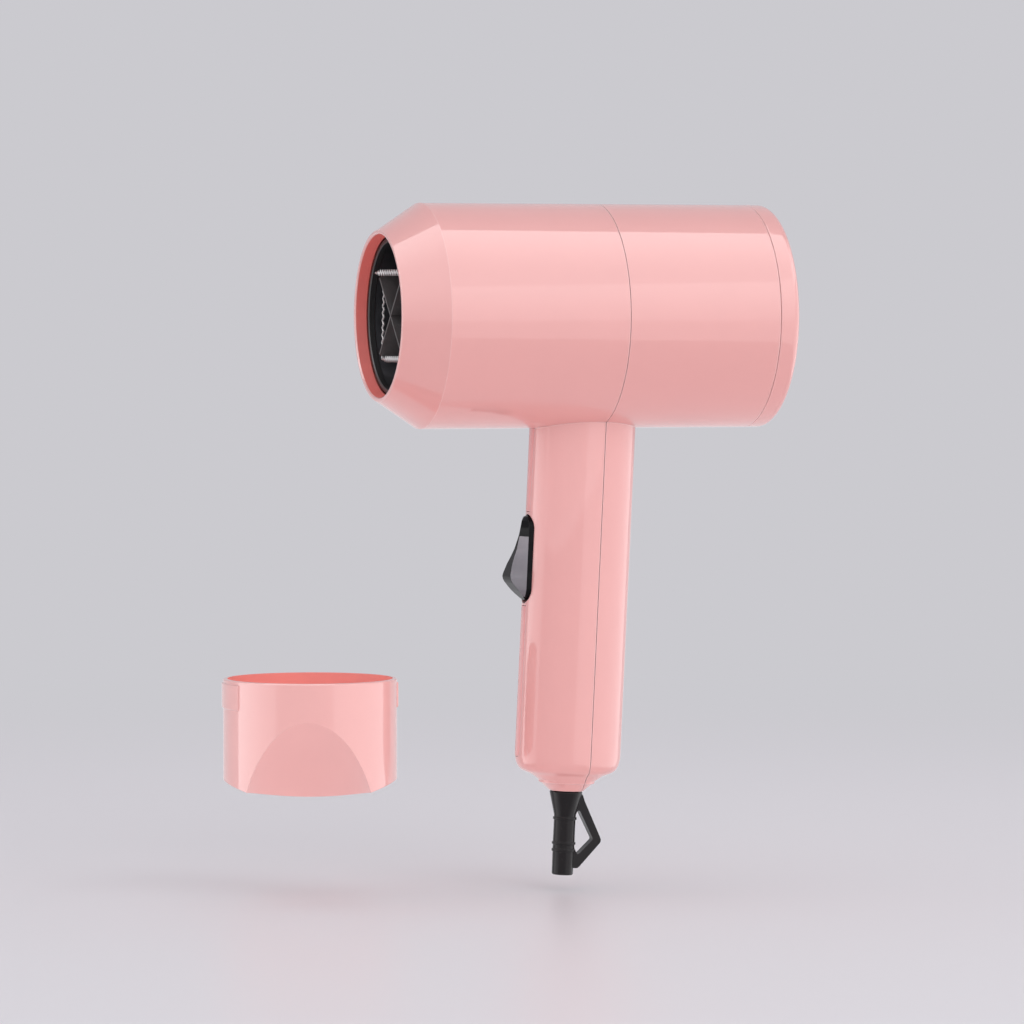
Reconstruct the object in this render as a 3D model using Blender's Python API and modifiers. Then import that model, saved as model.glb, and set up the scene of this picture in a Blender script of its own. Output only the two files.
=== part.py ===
"""Travel hair dryer with a detachable concentrator nozzle, built as its separate pieces.

Frame: origin on the grip's own axis at the middle of the hand, +Z up, the air outlet faces -X,
the intake faces +X. Lengths are in metres; MM turns the millimetres of the sizes below into metres.
"""

import math

import bmesh
import bpy
from mathutils import Matrix, Vector

MM = 0.001
GAP = 0.3  # clearance between neighbouring pieces, mm
TURN = 2 * math.pi

# Barrel, along X: stations measured on the X axis, radii from the barrel's own axis
AXIS_HEIGHT = 105.0
MOUTH_X, CONE_END_X, SEAM_X, CAP_X, REAR_X = -73.2, -58.1, 7.5, 63.7, 71.3
MOUTH_R, MOUTH_BORE_R, BARREL_R = 30.2, 28.9, 40.0
WALL = 2.0
ROUND_STEPS = 40
GRILLE_HUB_R, GRILLE_R, GRILLE_RINGS, GRILLE_BAR, GRILLE_SPOKES = 10.0, 31.6, 3, 2.4, 6

# Handle, along its own leaning axis: half width (fore and aft) and half depth (side to side)
HANDLE_LEAN = math.radians(2.72)
HANDLE_A, HANDLE_B, HANDLE_POWER = 19.25, 13.5, 2.2
HANDLE_TOP = 76.0
SPLIT_BEHIND_AXIS = 4.25
JUNCTION_Z = 67.4
# Height along the handle, share of the half width, share of the half depth: shoulder, lip, collar
HANDLE_FOOT = (
    (-52.5, 1.0, 1.0), (-55.4, 0.96, 0.975), (-57.5, 0.87, 0.9), (-59.0, 0.69, 0.76),
    (-60.9, 0.53, 0.64), (-61.8, 0.52, 0.62), (-62.0, 0.485, 0.585), (-64.6, 0.327, 0.467),
)
HANDLE_HOLLOW_FOOT = ((-51.5, 1.0, 1.0), (-54.5, 0.93, 0.95), (-57.0, 0.6, 0.74))

# Switch: where it sits along the handle, and how far it stands proud of the handle's front
SWITCH_LOW, SWITCH_HIGH, SWITCH_HALF = 2.9, 33.3, 4.8
SWITCH_PROFILE = (
    (0.0, 33.3), (2.0, 31.1), (2.6, 26.4), (3.8, 21.1), (5.8, 15.7), (6.8, 11.1), (6.1, 9.2),
    (3.6, 6.5), (0.4, 3.4), (0.0, 2.9),
)
SWITCH_BACK = ((-17.0, 4.4), (-13.2, 12.0), (-11.8, 17.8), (-13.2, 24.0), (-17.0, 32.4))
PIVOT_X, PIVOT_Z, PIVOT_R = -13.5, 17.8, 0.8

# Heater: two crossed boards inside a liner, and the wire wound round their tips
LINER_R, LINER_WALL, LINER_FRONT, LINER_REAR = 27.4, 0.7, -66.2, -8.0
BOARD_HALF, BOARD_THICK, BOARD_FRONT, BOARD_REAR = 20.0, 0.6, -68.5, -10.0
WIRE_RING_R, WIRE_R, WIRE_PITCH, WIRE_TURNS = 21.6, 0.4, 3.2, 7

# Motor and fan
MOTOR_R, MOTOR_FRONT, MOTOR_REAR = 13.0, 6.0, 36.0
HOLDER_FRONT, HOLDER_REAR, HOLDER_VANES = 13.0, 31.0, 6
BUSHING_R, BUSHING_BORE_R = 3.1, 1.35
SHAFT_R = 1.15
FAN_R, FAN_HUB_R, FAN_FRONT, FAN_REAR, FAN_BLADES = 35.0, 9.0, 40.5, 52.5, 7

# Nozzle, standing apart on its own upright axis, with its slot across the view
NOZZLE_X, NOZZLE_YAW = -98.1, math.radians(-17)
NOZZLE_R, NOZZLE_WALL, NOZZLE_TOP, NOZZLE_LOW = 30.6, 1.5, -22.3, -63.8
SCOOP_R, SCOOP_TOP_Z, SCOOP_THROAT = 23.1, -35.8, 4.0
LIP_ARC_R = 79.0
PAD_LOW, PAD_TOP, PAD_PROUD, PAD_HALF = -32.6, -23.6, 0.5, 10.5

# Screws that join the front and rear housings, and the cord clamp
SCREW_HEIGHTS = {"housing_screw_upper": 48.0, "housing_screw_lower": -36.0}
SCREW_HEAD_R, SCREW_SHANK_R = 2.7, 1.2
FRONT_BOSS_R, REAR_BOSS_R = 3.2, 4.6
CLAMP_Z, CLAMP_SCREW_Y = -47.0, 6.5
CLAMP_POST_R, CLAMP_WAY_R = 2.4, 1.4
CORD_BORE_R = 3.1

# Hanging loop beside the cord's sleeve, in the handle's side view
LOOP_OUTLINE = (
    (3.3, -66.6), (6.8, -66.2), (8.6, -68.2), (14.0, -79.6), (13.8, -81.6), (12.4, -83.4),
    (5.4, -92.2), (3.3, -92.4),
)
LOOP_EYE = ((4.9, -70.6), (11.4, -80.4), (4.9, -86.8))
LOOP_HALF = 1.9

COLOURS = {  # colour, roughness, metallic
    "pink_plastic": ((0.87, 0.53, 0.50), 0.35, 0.0),
    "black_plastic": ((0.012, 0.012, 0.013), 0.25, 0.0),
    "black_rubber": ((0.03, 0.028, 0.03), 0.55, 0.0),
    "grey_plastic": ((0.35, 0.35, 0.36), 0.5, 0.0),
    "mica": ((0.42, 0.37, 0.30), 0.55, 0.0),
    "steel": ((0.62, 0.62, 0.63), 0.3, 1.0),
    "brass": ((0.75, 0.58, 0.28), 0.3, 1.0),
    "lead_red": ((0.45, 0.03, 0.03), 0.45, 0.0),
    "lead_blue": ((0.03, 0.10, 0.40), 0.45, 0.0),
}


# ---------------------------------------------------------------- scene and helpers

def clear_scene():
    for obj in list(bpy.data.objects):
        bpy.data.objects.remove(obj, do_unlink=True)


def new_collection(name, hidden=False):
    collection = bpy.data.collections.new(name)
    collection.hide_render = hidden
    bpy.context.scene.collection.children.link(collection)
    return collection


def material(name):
    found = bpy.data.materials.get(name)
    if found:
        return found
    colour, roughness, metallic = COLOURS[name]
    made = bpy.data.materials.new(name)
    made.use_nodes = True
    shader = made.node_tree.nodes["Principled BSDF"]
    shader.inputs["Base Color"].default_value = (*colour, 1.0)
    shader.inputs["Roughness"].default_value = roughness
    shader.inputs["Metallic"].default_value = metallic
    made.diffuse_color = (*colour, 1.0)
    return made


def frame(name, location=(0, 0, 0), rotation=(0, 0, 0), parent=None):
    empty = bpy.data.objects.new(name, None)
    empty.location = Vector(location) * MM
    empty.rotation_euler = rotation
    empty.parent = parent
    PARTS.objects.link(empty)
    return empty


def place(name, data, parent, finish):
    """A part where finish names its material, or a cutter where finish is None."""
    obj = bpy.data.objects.new(name, data)
    obj.parent = parent
    if finish:
        data.materials.append(material(finish))
        PARTS.objects.link(obj)
    else:
        obj.hide_render = True
        obj.display_type = "WIRE"
        CUTTERS.objects.link(obj)
    return obj


def finish_mesh(name, mesh_data, parent, finish):
    mesh = bpy.data.meshes.new(name)
    bmesh.ops.recalc_face_normals(mesh_data, faces=mesh_data.faces)
    mesh_data.to_mesh(mesh)
    mesh_data.free()
    mesh.shade_smooth()
    mesh.set_sharp_from_angle(angle=math.radians(35))
    return place(name, mesh, parent, finish)


def box(name, low, high, parent, finish=None, turned=None):
    """A block between two corners, in mm in its parent's frame."""
    low, high = Vector(low), Vector(high)
    data = bmesh.new()
    bmesh.ops.create_cube(data, size=1.0)
    size = Matrix.Diagonal((*(high - low), 1.0))
    where = Matrix.Translation((high + low) / 2)
    placed = Matrix.Scale(MM, 4) @ (turned or Matrix()) @ where @ size
    bmesh.ops.transform(data, matrix=placed, verts=data.verts)
    return finish_mesh(name, data, parent, finish)


def rod(name, start, end, radius, parent, finish=None, sides=16):
    """A cylinder from start to end, in mm in its parent's frame."""
    start, end = Vector(start), Vector(end)
    along = end - start
    data = bmesh.new()
    bmesh.ops.create_cone(
        data, cap_ends=True, segments=sides, radius1=radius, radius2=radius, depth=along.length
    )
    turn = along.to_track_quat("Z", "Y").to_matrix().to_4x4() @ Matrix.Rotation(math.pi / sides, 4, "Z")
    where = Matrix.Translation((start + end) / 2)
    bmesh.ops.transform(data, matrix=Matrix.Scale(MM, 4) @ where @ turn, verts=data.verts)
    return finish_mesh(name, data, parent, finish)


def lathe(name, outline, parent, finish=None, along_x=True, steps=ROUND_STEPS, closed=False):
    """A turned piece. The outline's points are (station, radius), its outer side listed first from
    the highest station down; a closed outline is a ring, an open one starts and ends on the axis."""
    mesh = bpy.data.meshes.new(name)
    points = [(radius * MM, 0.0, station * MM) for station, radius in outline]
    edges = [(i, i + 1) for i in range(len(points) - 1)]
    if closed:
        edges.append((len(points) - 1, 0))
    mesh.from_pydata(points, edges, [])
    obj = place(name, mesh, parent, finish)
    if along_x:
        obj.rotation_euler = (0, math.pi / 2, 0)
    screw = obj.modifiers.new("turn", "SCREW")
    screw.axis = "Z"
    screw.angle = TURN
    screw.steps = screw.render_steps = steps
    screw.use_merge_vertices = True
    screw.merge_threshold = 0.00001
    screw.use_smooth_shade = True
    return obj


def tube_ring(name, front, rear, outer, inner, parent, finish=None, along_x=True, steps=ROUND_STEPS):
    outline = ((rear, outer), (front, outer), (front, inner), (rear, inner))
    return lathe(name, outline, parent, finish, along_x, steps, closed=True)


def prism(name, outline, axis, low, high, parent, finish=None):
    """An outline in the two axes other than this one, extruded along it from low to high, in mm."""
    others = [i for i in range(3) if i != "XYZ".index(axis)]
    data = bmesh.new()
    corners = []
    for pair in outline:
        point = [0.0, 0.0, 0.0]
        point["XYZ".index(axis)] = low
        point[others[0]], point[others[1]] = pair
        corners.append(data.verts.new(Vector(point) * MM))
    face = data.faces.new(corners)
    grown = bmesh.ops.extrude_face_region(data, geom=[face])
    moved = [item for item in grown["geom"] if isinstance(item, bmesh.types.BMVert)]
    shift = Vector((0.0, 0.0, 0.0))
    shift["XYZ".index(axis)] = (high - low) * MM
    bmesh.ops.translate(data, vec=shift, verts=moved)
    return finish_mesh(name, data, parent, finish)


def loft(name, rings, parent, finish=None):
    """Closed skin through rings of equal length, each a list of points in mm, with flat ends."""
    data = bmesh.new()
    rows = [[data.verts.new(Vector(point) * MM) for point in ring] for ring in rings]
    count = len(rows[0])
    for below, above in zip(rows, rows[1:]):
        for i in range(count):
            j = (i + 1) % count
            data.faces.new((below[i], below[j], above[j], above[i]))
    data.faces.new(rows[0])
    data.faces.new(rows[-1])
    return finish_mesh(name, data, parent, finish)


def cut(target, operation, *tools):
    for tool in tools:
        step = target.modifiers.new(f"{operation.lower()}_{tool.name}", "BOOLEAN")
        step.operation = operation
        step.object = tool
    return target


def wire(name, points, radius, parent, finish, sides_level=2):
    """A round wire through the points, in mm in its parent's frame."""
    curve = bpy.data.curves.new(name, "CURVE")
    curve.dimensions = "3D"
    curve.bevel_depth = radius * MM
    curve.bevel_resolution = sides_level
    curve.use_fill_caps = True
    spline = curve.splines.new("POLY")
    spline.points.add(len(points) - 1)
    for target, point in zip(spline.points, points):
        target.co = (*(Vector(point) * MM), 1.0)
    return place(name, curve, parent, finish)


def smooth_path(points, per_span=3):
    """Catmull-Rom points through a route's own points."""
    route = [Vector(p) for p in points]
    ends = [2 * route[0] - route[1], *route, 2 * route[-1] - route[-2]]
    found = []
    for a, b, c, d in zip(ends, ends[1:], ends[2:], ends[3:]):
        for step in range(per_span):
            t = step / per_span
            square = (2 * a - 5 * b + 4 * c - d) * t**2
            cube = (3 * b - a - 3 * c + d) * t**3
            found.append(0.5 * (2 * b + (c - a) * t + square + cube))
    return found + [route[-1]]


def oval(a, b, z, sides=40):
    """A superellipse, rounder than a box and flatter than an ellipse."""
    ring = []
    for i in range(sides):
        angle = TURN * i / sides
        c, s = math.cos(angle), math.sin(angle)
        x = math.copysign(abs(c) ** (2 / HANDLE_POWER), c) * a
        y = math.copysign(abs(s) ** (2 / HANDLE_POWER), s) * b
        ring.append((x, y, z))
    return ring


def stadium(half, low, high, sides=10):
    """An upright slot outline with round ends, as (side, height) pairs."""
    ends = ((high - half, 0.0), (low + half, math.pi))
    return [
        (half * math.cos(start + math.pi * i / sides), middle + half * math.sin(start + math.pi * i / sides))
        for middle, start in ends
        for i in range(sides + 1)
    ]


def handle_solid(name, inset, foot, sides=40):
    """The handle's oval, drawn in by the inset, from inside the barrel down to its foot."""
    a, b = HANDLE_A - inset, HANDLE_B - inset
    rings = [oval(a, b, HANDLE_TOP, sides)]
    rings += [oval(a * wide, b * deep, z, sides) for z, wide, deep in foot]
    return loft(name, rings, HANDLE)


# ---------------------------------------------------------------- housings

def housing_halves():
    """Side view outlines of the space in front of and behind the seam, which bends at the barrel."""
    reach = 260.0
    foot = -reach / 2
    low_x = SEAM_X - (JUNCTION_Z - foot) * math.tan(HANDLE_LEAN)
    outlines = []
    for side in (-1, 1):
        shift = side * GAP / 2
        outlines.append([
            (SEAM_X + shift, reach), (side * reach, reach), (side * reach, foot),
            (low_x + shift, foot), (SEAM_X + shift, JUNCTION_Z),
        ])
    front, rear = outlines
    return (
        prism("cut_front_half", front, "Y", -reach, reach, None),
        prism("cut_rear_half", rear, "Y", -reach, reach, None),
    )


def strip_outline(low, high, low_half, high_half, round_low, extra):
    """A tapering strip; its low end is round where asked."""
    outline = [(high_half + extra, high + extra), (-high_half - extra, high + extra)]
    if round_low:
        radius = low_half + extra
        middle = low - extra + radius
        for i in range(9):
            angle = math.pi * i / 8
            outline.append((-radius * math.cos(angle), middle - radius * math.sin(angle)))
    else:
        outline += [(-low_half - extra, low - extra), (low_half + extra, low - extra)]
    return outline


STRIP_THICK = 1.0
STRIPS = {  # low, high, half width at each end, round low end
    "front_strip_upper": (34.6, 64.2, 1.7, 2.8, False),
    "front_strip_lower": (-52.8, 0.9, 2.4, 2.2, True),
}


def front_strips():
    """Two inlaid trims flush with the handle's front, and the cutters of their recesses."""
    recesses = []
    for name, sizes in STRIPS.items():
        piece = prism(name, strip_outline(*sizes, 0.0), "X", -21, -15, HANDLE, "pink_plastic")
        cut(piece, "INTERSECT", handle_solid(f"{name}_skin", 0.0, HANDLE_FOOT))
        cut(piece, "DIFFERENCE", handle_solid(f"{name}_back", STRIP_THICK, HANDLE_FOOT))
        recess = prism(f"{name}_recess", strip_outline(*sizes, GAP), "X", -22, -14, HANDLE)
        cut(recess, "DIFFERENCE", handle_solid(f"{name}_floor", STRIP_THICK + GAP, HANDLE_FOOT))
        recesses.append(recess)
    return recesses


def housings():
    front_half, rear_half = housing_halves()
    handle_outer = handle_solid("cut_handle_outer", 0.0, HANDLE_FOOT)
    handle_hollow = handle_solid("cut_handle_hollow", WALL, HANDLE_HOLLOW_FOOT)
    barrel_hollow = lathe(
        "cut_barrel_hollow",
        (
            (REAR_X, 0.0), (REAR_X, BARREL_R - WALL), (CONE_END_X + 0.6, BARREL_R - WALL),
            (MOUTH_X + 4.2, MOUTH_BORE_R - 0.7), (MOUTH_X, MOUTH_BORE_R), (MOUTH_X - 1.0, MOUTH_BORE_R),
            (MOUTH_X - 1.0, 0.0),
        ),
        BARREL,
    )
    cord_hole = rod("cut_cord_hole", (0, 0, -70), (0, 0, -54), 4.7, HANDLE, sides=24)
    slot = stadium(SWITCH_HALF + GAP, SWITCH_LOW - 1.0, SWITCH_HIGH + 0.4)
    opening = prism("cut_switch_opening", slot, "X", -30, -12, HANDLE)
    front = lathe(
        "front_housing",
        (
            (SEAM_X + 1, 0.0), (SEAM_X + 1, BARREL_R), (CONE_END_X, BARREL_R),
            (MOUTH_X, MOUTH_R), (MOUTH_X, 0.0),
        ),
        BARREL, "pink_plastic",
    )
    rear_end = CAP_X - GAP / 2
    rear = lathe(
        "rear_housing",
        ((rear_end, 0.0), (rear_end, BARREL_R), (SEAM_X - 1, BARREL_R), (SEAM_X - 1, 0.0)),
        BARREL, "pink_plastic",
    )
    for shell, half in ((front, front_half), (rear, rear_half)):
        cut(shell, "UNION", handle_outer)
        cut(shell, "DIFFERENCE", barrel_hollow, handle_hollow, cord_hole)
        cut(shell, "INTERSECT", half)
    cut(front, "DIFFERENCE", opening, *front_strips())
    join_with_screws(front, rear)
    for side in (-1, 1):
        y = side * CLAMP_SCREW_Y
        post = rod(f"cut_clamp_post_{side}", (-15.0, y, CLAMP_Z), (-1.5, y, CLAMP_Z), CLAMP_POST_R, HANDLE)
        pilot = rod(f"cut_clamp_pilot_{side}", (-9.0, y, CLAMP_Z), (0.0, y, CLAMP_Z), CLAMP_WAY_R, HANDLE)
        cut(front, "UNION", post)
        cut(front, "DIFFERENCE", pilot)


def join_with_screws(front, rear):
    """Bosses in both halves, and a screw through the rear one into the front one."""
    split = SPLIT_BEHIND_AXIS
    for name, z in SCREW_HEIGHTS.items():
        front_boss = rod(f"{name}_front_boss", (-17.7, 0, z), (split - 0.5, 0, z), FRONT_BOSS_R, HANDLE)
        pilot = rod(f"{name}_pilot", (-8.0, 0, z), (split + 1, 0, z), SCREW_SHANK_R + GAP, HANDLE)
        cut(front, "UNION", front_boss)
        cut(front, "DIFFERENCE", pilot)
        rear_boss = rod(f"{name}_rear_boss", (split + 0.5, 0, z), (17.9, 0, z), REAR_BOSS_R, HANDLE)
        way = rod(f"{name}_way", (split - 1, 0, z), (12.0, 0, z), SCREW_SHANK_R + 0.4, HANDLE)
        counterbore = rod(f"{name}_counterbore", (9.5, 0, z), (22.0, 0, z), SCREW_HEAD_R + 0.4, HANDLE)
        cut(rear, "UNION", rear_boss)
        cut(rear, "DIFFERENCE", way, counterbore)
        head = rod(name, (9.8, 0, z), (11.6, 0, z), SCREW_HEAD_R, HANDLE, "steel")
        cut(head, "UNION", rod(f"{name}_shank", (-6.0, 0, z), (10.4, 0, z), SCREW_SHANK_R, HANDLE))


def rear_cap():
    """The intake end: a rounded ring that plugs into the barrel, with rings of grille on spokes."""
    face = REAR_X - WALL
    corner = 2.7
    bend = [
        (REAR_X - corner + corner * math.cos(a), BARREL_R - corner + corner * math.sin(a))
        for a in (math.radians(22.5 * i) for i in range(5))
    ]
    start = CAP_X + GAP / 2
    plug = BARREL_R - WALL - 0.4
    cap = lathe(
        "rear_cap",
        (
            (REAR_X, GRILLE_R), *bend, (start, BARREL_R), (start, plug), (start - 4.5, plug),
            (start - 4.5, plug - 1.3), (start - 1.0, plug - 1.3), (start + 1.2, plug + 0.3),
            (face, plug + 0.3), (face, GRILLE_R),
        ),
        BARREL, "pink_plastic", closed=True,
    )
    # Spokes and rings step back a little from the face, one behind the other.
    for i in range(GRILLE_SPOKES):
        turned = Matrix.Rotation(TURN * i / GRILLE_SPOKES, 4, "X")
        low, high = (face + 0.4, -1.1, GRILLE_HUB_R - 2), (REAR_X - 0.4, 1.1, GRILLE_R + 1.5)
        cut(cap, "UNION", box(f"cut_spoke_{i}", low, high, BARREL, turned=turned))
    disc = ((REAR_X, 0), (REAR_X, GRILLE_HUB_R), (face, GRILLE_HUB_R), (face, 0))
    cut(cap, "UNION", lathe("cut_grille_hub", disc, BARREL))
    spacing = (GRILLE_R - GRILLE_HUB_R + GRILLE_BAR) / (GRILLE_RINGS + 1)
    for i in range(GRILLE_RINGS):
        inner = GRILLE_HUB_R + (i + 1) * spacing - GRILLE_BAR
        outer = inner + GRILLE_BAR
        cut(cap, "UNION", tube_ring(f"cut_grille_ring_{i}", face + 0.2, REAR_X - 0.2, outer, inner, BARREL))
    filter_r = plug - 0.1
    lathe("intake_filter", ((68.4, 0.0), (68.4, filter_r), (67.6, filter_r), (67.6, 0.0)), BARREL, "steel")


# ---------------------------------------------------------------- switch

def switch():
    pivot = frame("rocker_pivot", (PIVOT_X, 0, PIVOT_Z), parent=HANDLE)
    outline = [(-HANDLE_A - proud, z) for proud, z in SWITCH_PROFILE] + list(SWITCH_BACK)
    outline = [(x - PIVOT_X, z - PIVOT_Z) for x, z in outline]
    rocker = prism("switch_rocker", outline, "Y", -SWITCH_HALF, SWITCH_HALF, pivot, "black_plastic")
    plan = [(y, z - PIVOT_Z) for y, z in stadium(SWITCH_HALF, SWITCH_LOW, SWITCH_HIGH)]
    cut(rocker, "INTERSECT", prism("cut_rocker_plan", plan, "X", -20, 10, pivot))
    cut(rocker, "DIFFERENCE", rod("cut_rocker_bore", (0, -8, 0), (0, 8, 0), PIVOT_R + GAP, pivot, sides=12))
    body = box("switch_body", (-9.5, -6.1, 7.0), (-2.5, 6.1, 29.0), HANDLE, "black_plastic")
    for side in (-1, 1):
        low, high = sorted((side * 5.15, side * 6.1))
        cut(body, "UNION", box(f"cut_switch_ear_{side}", (-14.9, low, 14.0), (-9.0, high, 21.6), HANDLE))
    ends = [(PIVOT_X, y, PIVOT_Z) for y in (-8, 8)]
    cut(body, "DIFFERENCE", rod("cut_ear_holes", *ends, PIVOT_R + GAP, HANDLE, sides=12))
    ends = [(PIVOT_X, y, PIVOT_Z) for y in (-6, 6)]
    rod("switch_pivot_pin", *ends, PIVOT_R, HANDLE, "steel", sides=12)
    for name, z in (("low", 10.0), ("common", 18.0), ("high", 26.0)):
        box(f"switch_terminal_{name}", (-2.2, -1.5, z - 0.4), (2.5, 1.5, z + 0.4), HANDLE, "brass")


# ---------------------------------------------------------------- heater

def heater():
    inner = LINER_R - LINER_WALL
    tube_ring("heater_liner", LINER_FRONT, LINER_REAR, LINER_R, inner, BARREL, "steel", steps=32)
    tube_ring("outlet_ring", MOUTH_X + 4.4, LINER_FRONT - GAP, 27.8, 26.2, BARREL, "black_plastic", steps=32)
    middle = (BOARD_FRONT + BOARD_REAR) / 2
    half = BOARD_THICK / 2
    slots = {"a": (BOARD_FRONT - 1, middle), "b": (middle - GAP, BOARD_REAR + 1)}
    for name, angle in (("a", 45), ("b", -45)):
        turn = Matrix.Rotation(math.radians(angle), 4, "X")
        low, high = slots[name]
        corners = (BOARD_FRONT, -half, -BOARD_HALF), (BOARD_REAR, half, BOARD_HALF)
        board = box(f"heater_board_{name}", *corners, BARREL, "mica", turn)
        corners = (low, -2, -half - GAP), (high, 2, half + GAP)
        cut(board, "DIFFERENCE", box(f"cut_board_{name}", *corners, BARREL, turned=turn))
    for name, start in (("front", -65.5), ("rear", -39.0)):
        points = []
        for i in range(4 * WIRE_TURNS + 1):
            angle = TURN * (i + 0.5) / 4
            y, z = WIRE_RING_R * math.cos(angle), WIRE_RING_R * math.sin(angle)
            points.append((start + WIRE_PITCH * i / 4, y, z))
        wire(f"heater_coil_{name}", points, WIRE_R, BARREL, "steel", sides_level=1)
    rod("thermostat", (-17.0, 9.0, 0), (-13.5, 9.0, 0), 4.2, BARREL, "steel")
    rod("thermal_fuse", (-30.0, -7.0, 0), (-20.0, -7.0, 0), 1.4, BARREL, "brass", sides=12)


# ---------------------------------------------------------------- motor and fan

def motor():
    outer = BARREL_R - WALL - 0.5
    duct = lathe(
        "air_duct",
        (
            (HOLDER_FRONT - GAP, outer), (8.0, outer - 0.8), (-8.5, 29.3), (-12.0, 29.0), (-12.0, 27.9),
            (-8.5, 28.1), (8.0, outer - 2.0), (HOLDER_FRONT - GAP, outer - 1.2),
        ),
        BARREL, "grey_plastic", closed=True, steps=32,
    )
    cut(duct, "DIFFERENCE", box("cut_wire_way", (-7.5, -6, -45), (-1.0, 6, -24), BARREL))
    ends = (HOLDER_FRONT, HOLDER_REAR)
    holder = tube_ring("motor_holder", *ends, outer, outer - 1.2, BARREL, "grey_plastic", steps=32)
    for i in range(HOLDER_VANES):
        bearing = Matrix.Rotation(TURN * (i + 0.5) / HOLDER_VANES, 4, "X")
        corners = (15.0, -0.6, 15.5), (29.0, 0.6, outer - 0.6)
        cut(holder, "UNION", box(f"cut_vane_{i}", *corners, BARREL, turned=bearing))
    cut(holder, "UNION", tube_ring("cut_motor_cup", *ends, 16.2, 14.9, BARREL, steps=32))
    tube_ring("motor_damper", 19.0, 27.0, 14.6, MOTOR_R + GAP, BARREL, "black_rubber", steps=32)
    lathe(
        "motor_can",
        (
            (MOTOR_REAR, 3.4), (MOTOR_REAR, MOTOR_R - 1), (MOTOR_REAR - 1, MOTOR_R), (MOTOR_FRONT, MOTOR_R),
            (MOTOR_FRONT, 1.5), (MOTOR_REAR - 1.6, 1.5), (MOTOR_REAR - 1.6, 3.4),
        ),
        BARREL, "steel", closed=True, steps=24,
    )
    bushings = {"rear": (MOTOR_REAR - 1.3, MOTOR_REAR + 1.4), "front": (3.2, MOTOR_FRONT - 0.5)}
    for end, places in bushings.items():
        name = f"motor_bushing_{end}"
        tube_ring(name, *places, BUSHING_R, BUSHING_BORE_R, BARREL, "brass", steps=16)
    tube_ring("motor_end_cap", 3.0, MOTOR_FRONT - GAP, 12.6, 3.4, BARREL, "black_plastic", steps=24)
    rod("motor_shaft", (3.6, 0, 0), (51.0, 0, 0), SHAFT_R, BARREL, "steel", sides=12)
    for side, name in ((-1, "left"), (1, "right")):
        low, high = sorted((side * 7.2, side * 7.9))
        box(f"motor_terminal_{name}", (-1.3, low, -1.5), (2.7, high, 1.5), BARREL, "brass")
    lathe("rectifier_board", ((-1.8, 0), (-1.8, 10.5), (-3.4, 10.5), (-3.4, 0)), BARREL, "mica", steps=24)
    for i in range(4):
        y = -6.0 + 4.0 * i
        ends = (-5.2, y, -2.6), (-5.2, y, 2.6)
        rod(f"rectifier_diode_{i + 1}", *ends, 1.35, BARREL, "black_plastic", sides=10)
    box("suppressor_capacitor", (-8.2, -4.5, 4.2), (-3.8, 4.5, 8.2), BARREL, "grey_plastic")


def fan_blade(angle):
    """One twisted, slightly hollow blade: steep at the hub and flat at the tip."""
    rings = []
    middle = (FAN_FRONT + FAN_REAR) / 2
    for share in (0.0, 0.35, 0.7, 1.0):
        radius = FAN_HUB_R - 0.8 + share * (FAN_R - FAN_HUB_R + 0.8)
        axial = 5.2 - 1.4 * share
        around = 2.2 + 6.0 * share
        camber = 0.5 + 1.0 * share
        line = ((-axial, -around), (0.0, camber), (axial, around))
        thick = 0.55
        front = [(middle + x - thick, s) for x, s in line]
        back = [(middle + x + thick, s) for x, s in reversed(line)]
        ring = []
        for x, sideways in front + back:
            bearing = angle + sideways / max(radius, 1.0)
            ring.append((x, radius * math.cos(bearing), radius * math.sin(bearing)))
        rings.append(ring)
    return rings


def fan():
    hub = lathe(
        "fan_impeller",
        (
            (FAN_REAR, 1.45), (FAN_REAR, 5.5), (FAN_REAR - 1.6, 8.0), (FAN_REAR - 4.0, FAN_HUB_R),
            (FAN_FRONT, FAN_HUB_R), (FAN_FRONT, 1.45),
        ),
        BARREL, "black_plastic", closed=True, steps=24,
    )
    for i in range(FAN_BLADES):
        blade = loft(f"cut_blade_{i}", fan_blade(TURN * i / FAN_BLADES), BARREL)
        cut(hub, "UNION", blade)


# ---------------------------------------------------------------- cord entry and leads

def cord_entry():
    sleeve = lathe(
        "strain_relief",
        (
            (-54.8, 6.8), (-56.6, 6.8), (-56.6, 4.4), (-64.9, 4.4), (-64.9, 5.9), (-73.2, 3.95), (-94.8, 3.8),
            (-94.8, CORD_BORE_R), (-54.8, CORD_BORE_R),
        ),
        HANDLE, "black_rubber", along_x=False, closed=True, steps=24,
    )
    loop = prism("cut_loop", LOOP_OUTLINE, "Y", -LOOP_HALF, LOOP_HALF, HANDLE)
    cut(loop, "DIFFERENCE", prism("cut_loop_eye", LOOP_EYE, "Y", -4, 4, HANDLE))
    cut(sleeve, "UNION", loop)
    bar = box("cord_clamp", (-1.2, -9.2, CLAMP_Z - 2.6), (1.8, 9.2, CLAMP_Z + 2.6), HANDLE, "grey_plastic")
    for side, name in ((-1, "left"), (1, "right")):
        y = side * CLAMP_SCREW_Y
        hole = rod(f"cut_clamp_hole_{name}", (-3, y, CLAMP_Z), (4, y, CLAMP_Z), CLAMP_WAY_R, HANDLE, sides=12)
        cut(bar, "DIFFERENCE", hole)
        ends = (2.1, y, CLAMP_Z), (3.5, y, CLAMP_Z)
        head = rod(f"cord_clamp_screw_{name}", *ends, 2.1, HANDLE, "steel", sides=12)
        ends = (-8.0, y, CLAMP_Z), (2.6, y, CLAMP_Z)
        cut(head, "UNION", rod(f"cut_clamp_shank_{name}", *ends, 1.1, HANDLE, sides=12))


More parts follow.
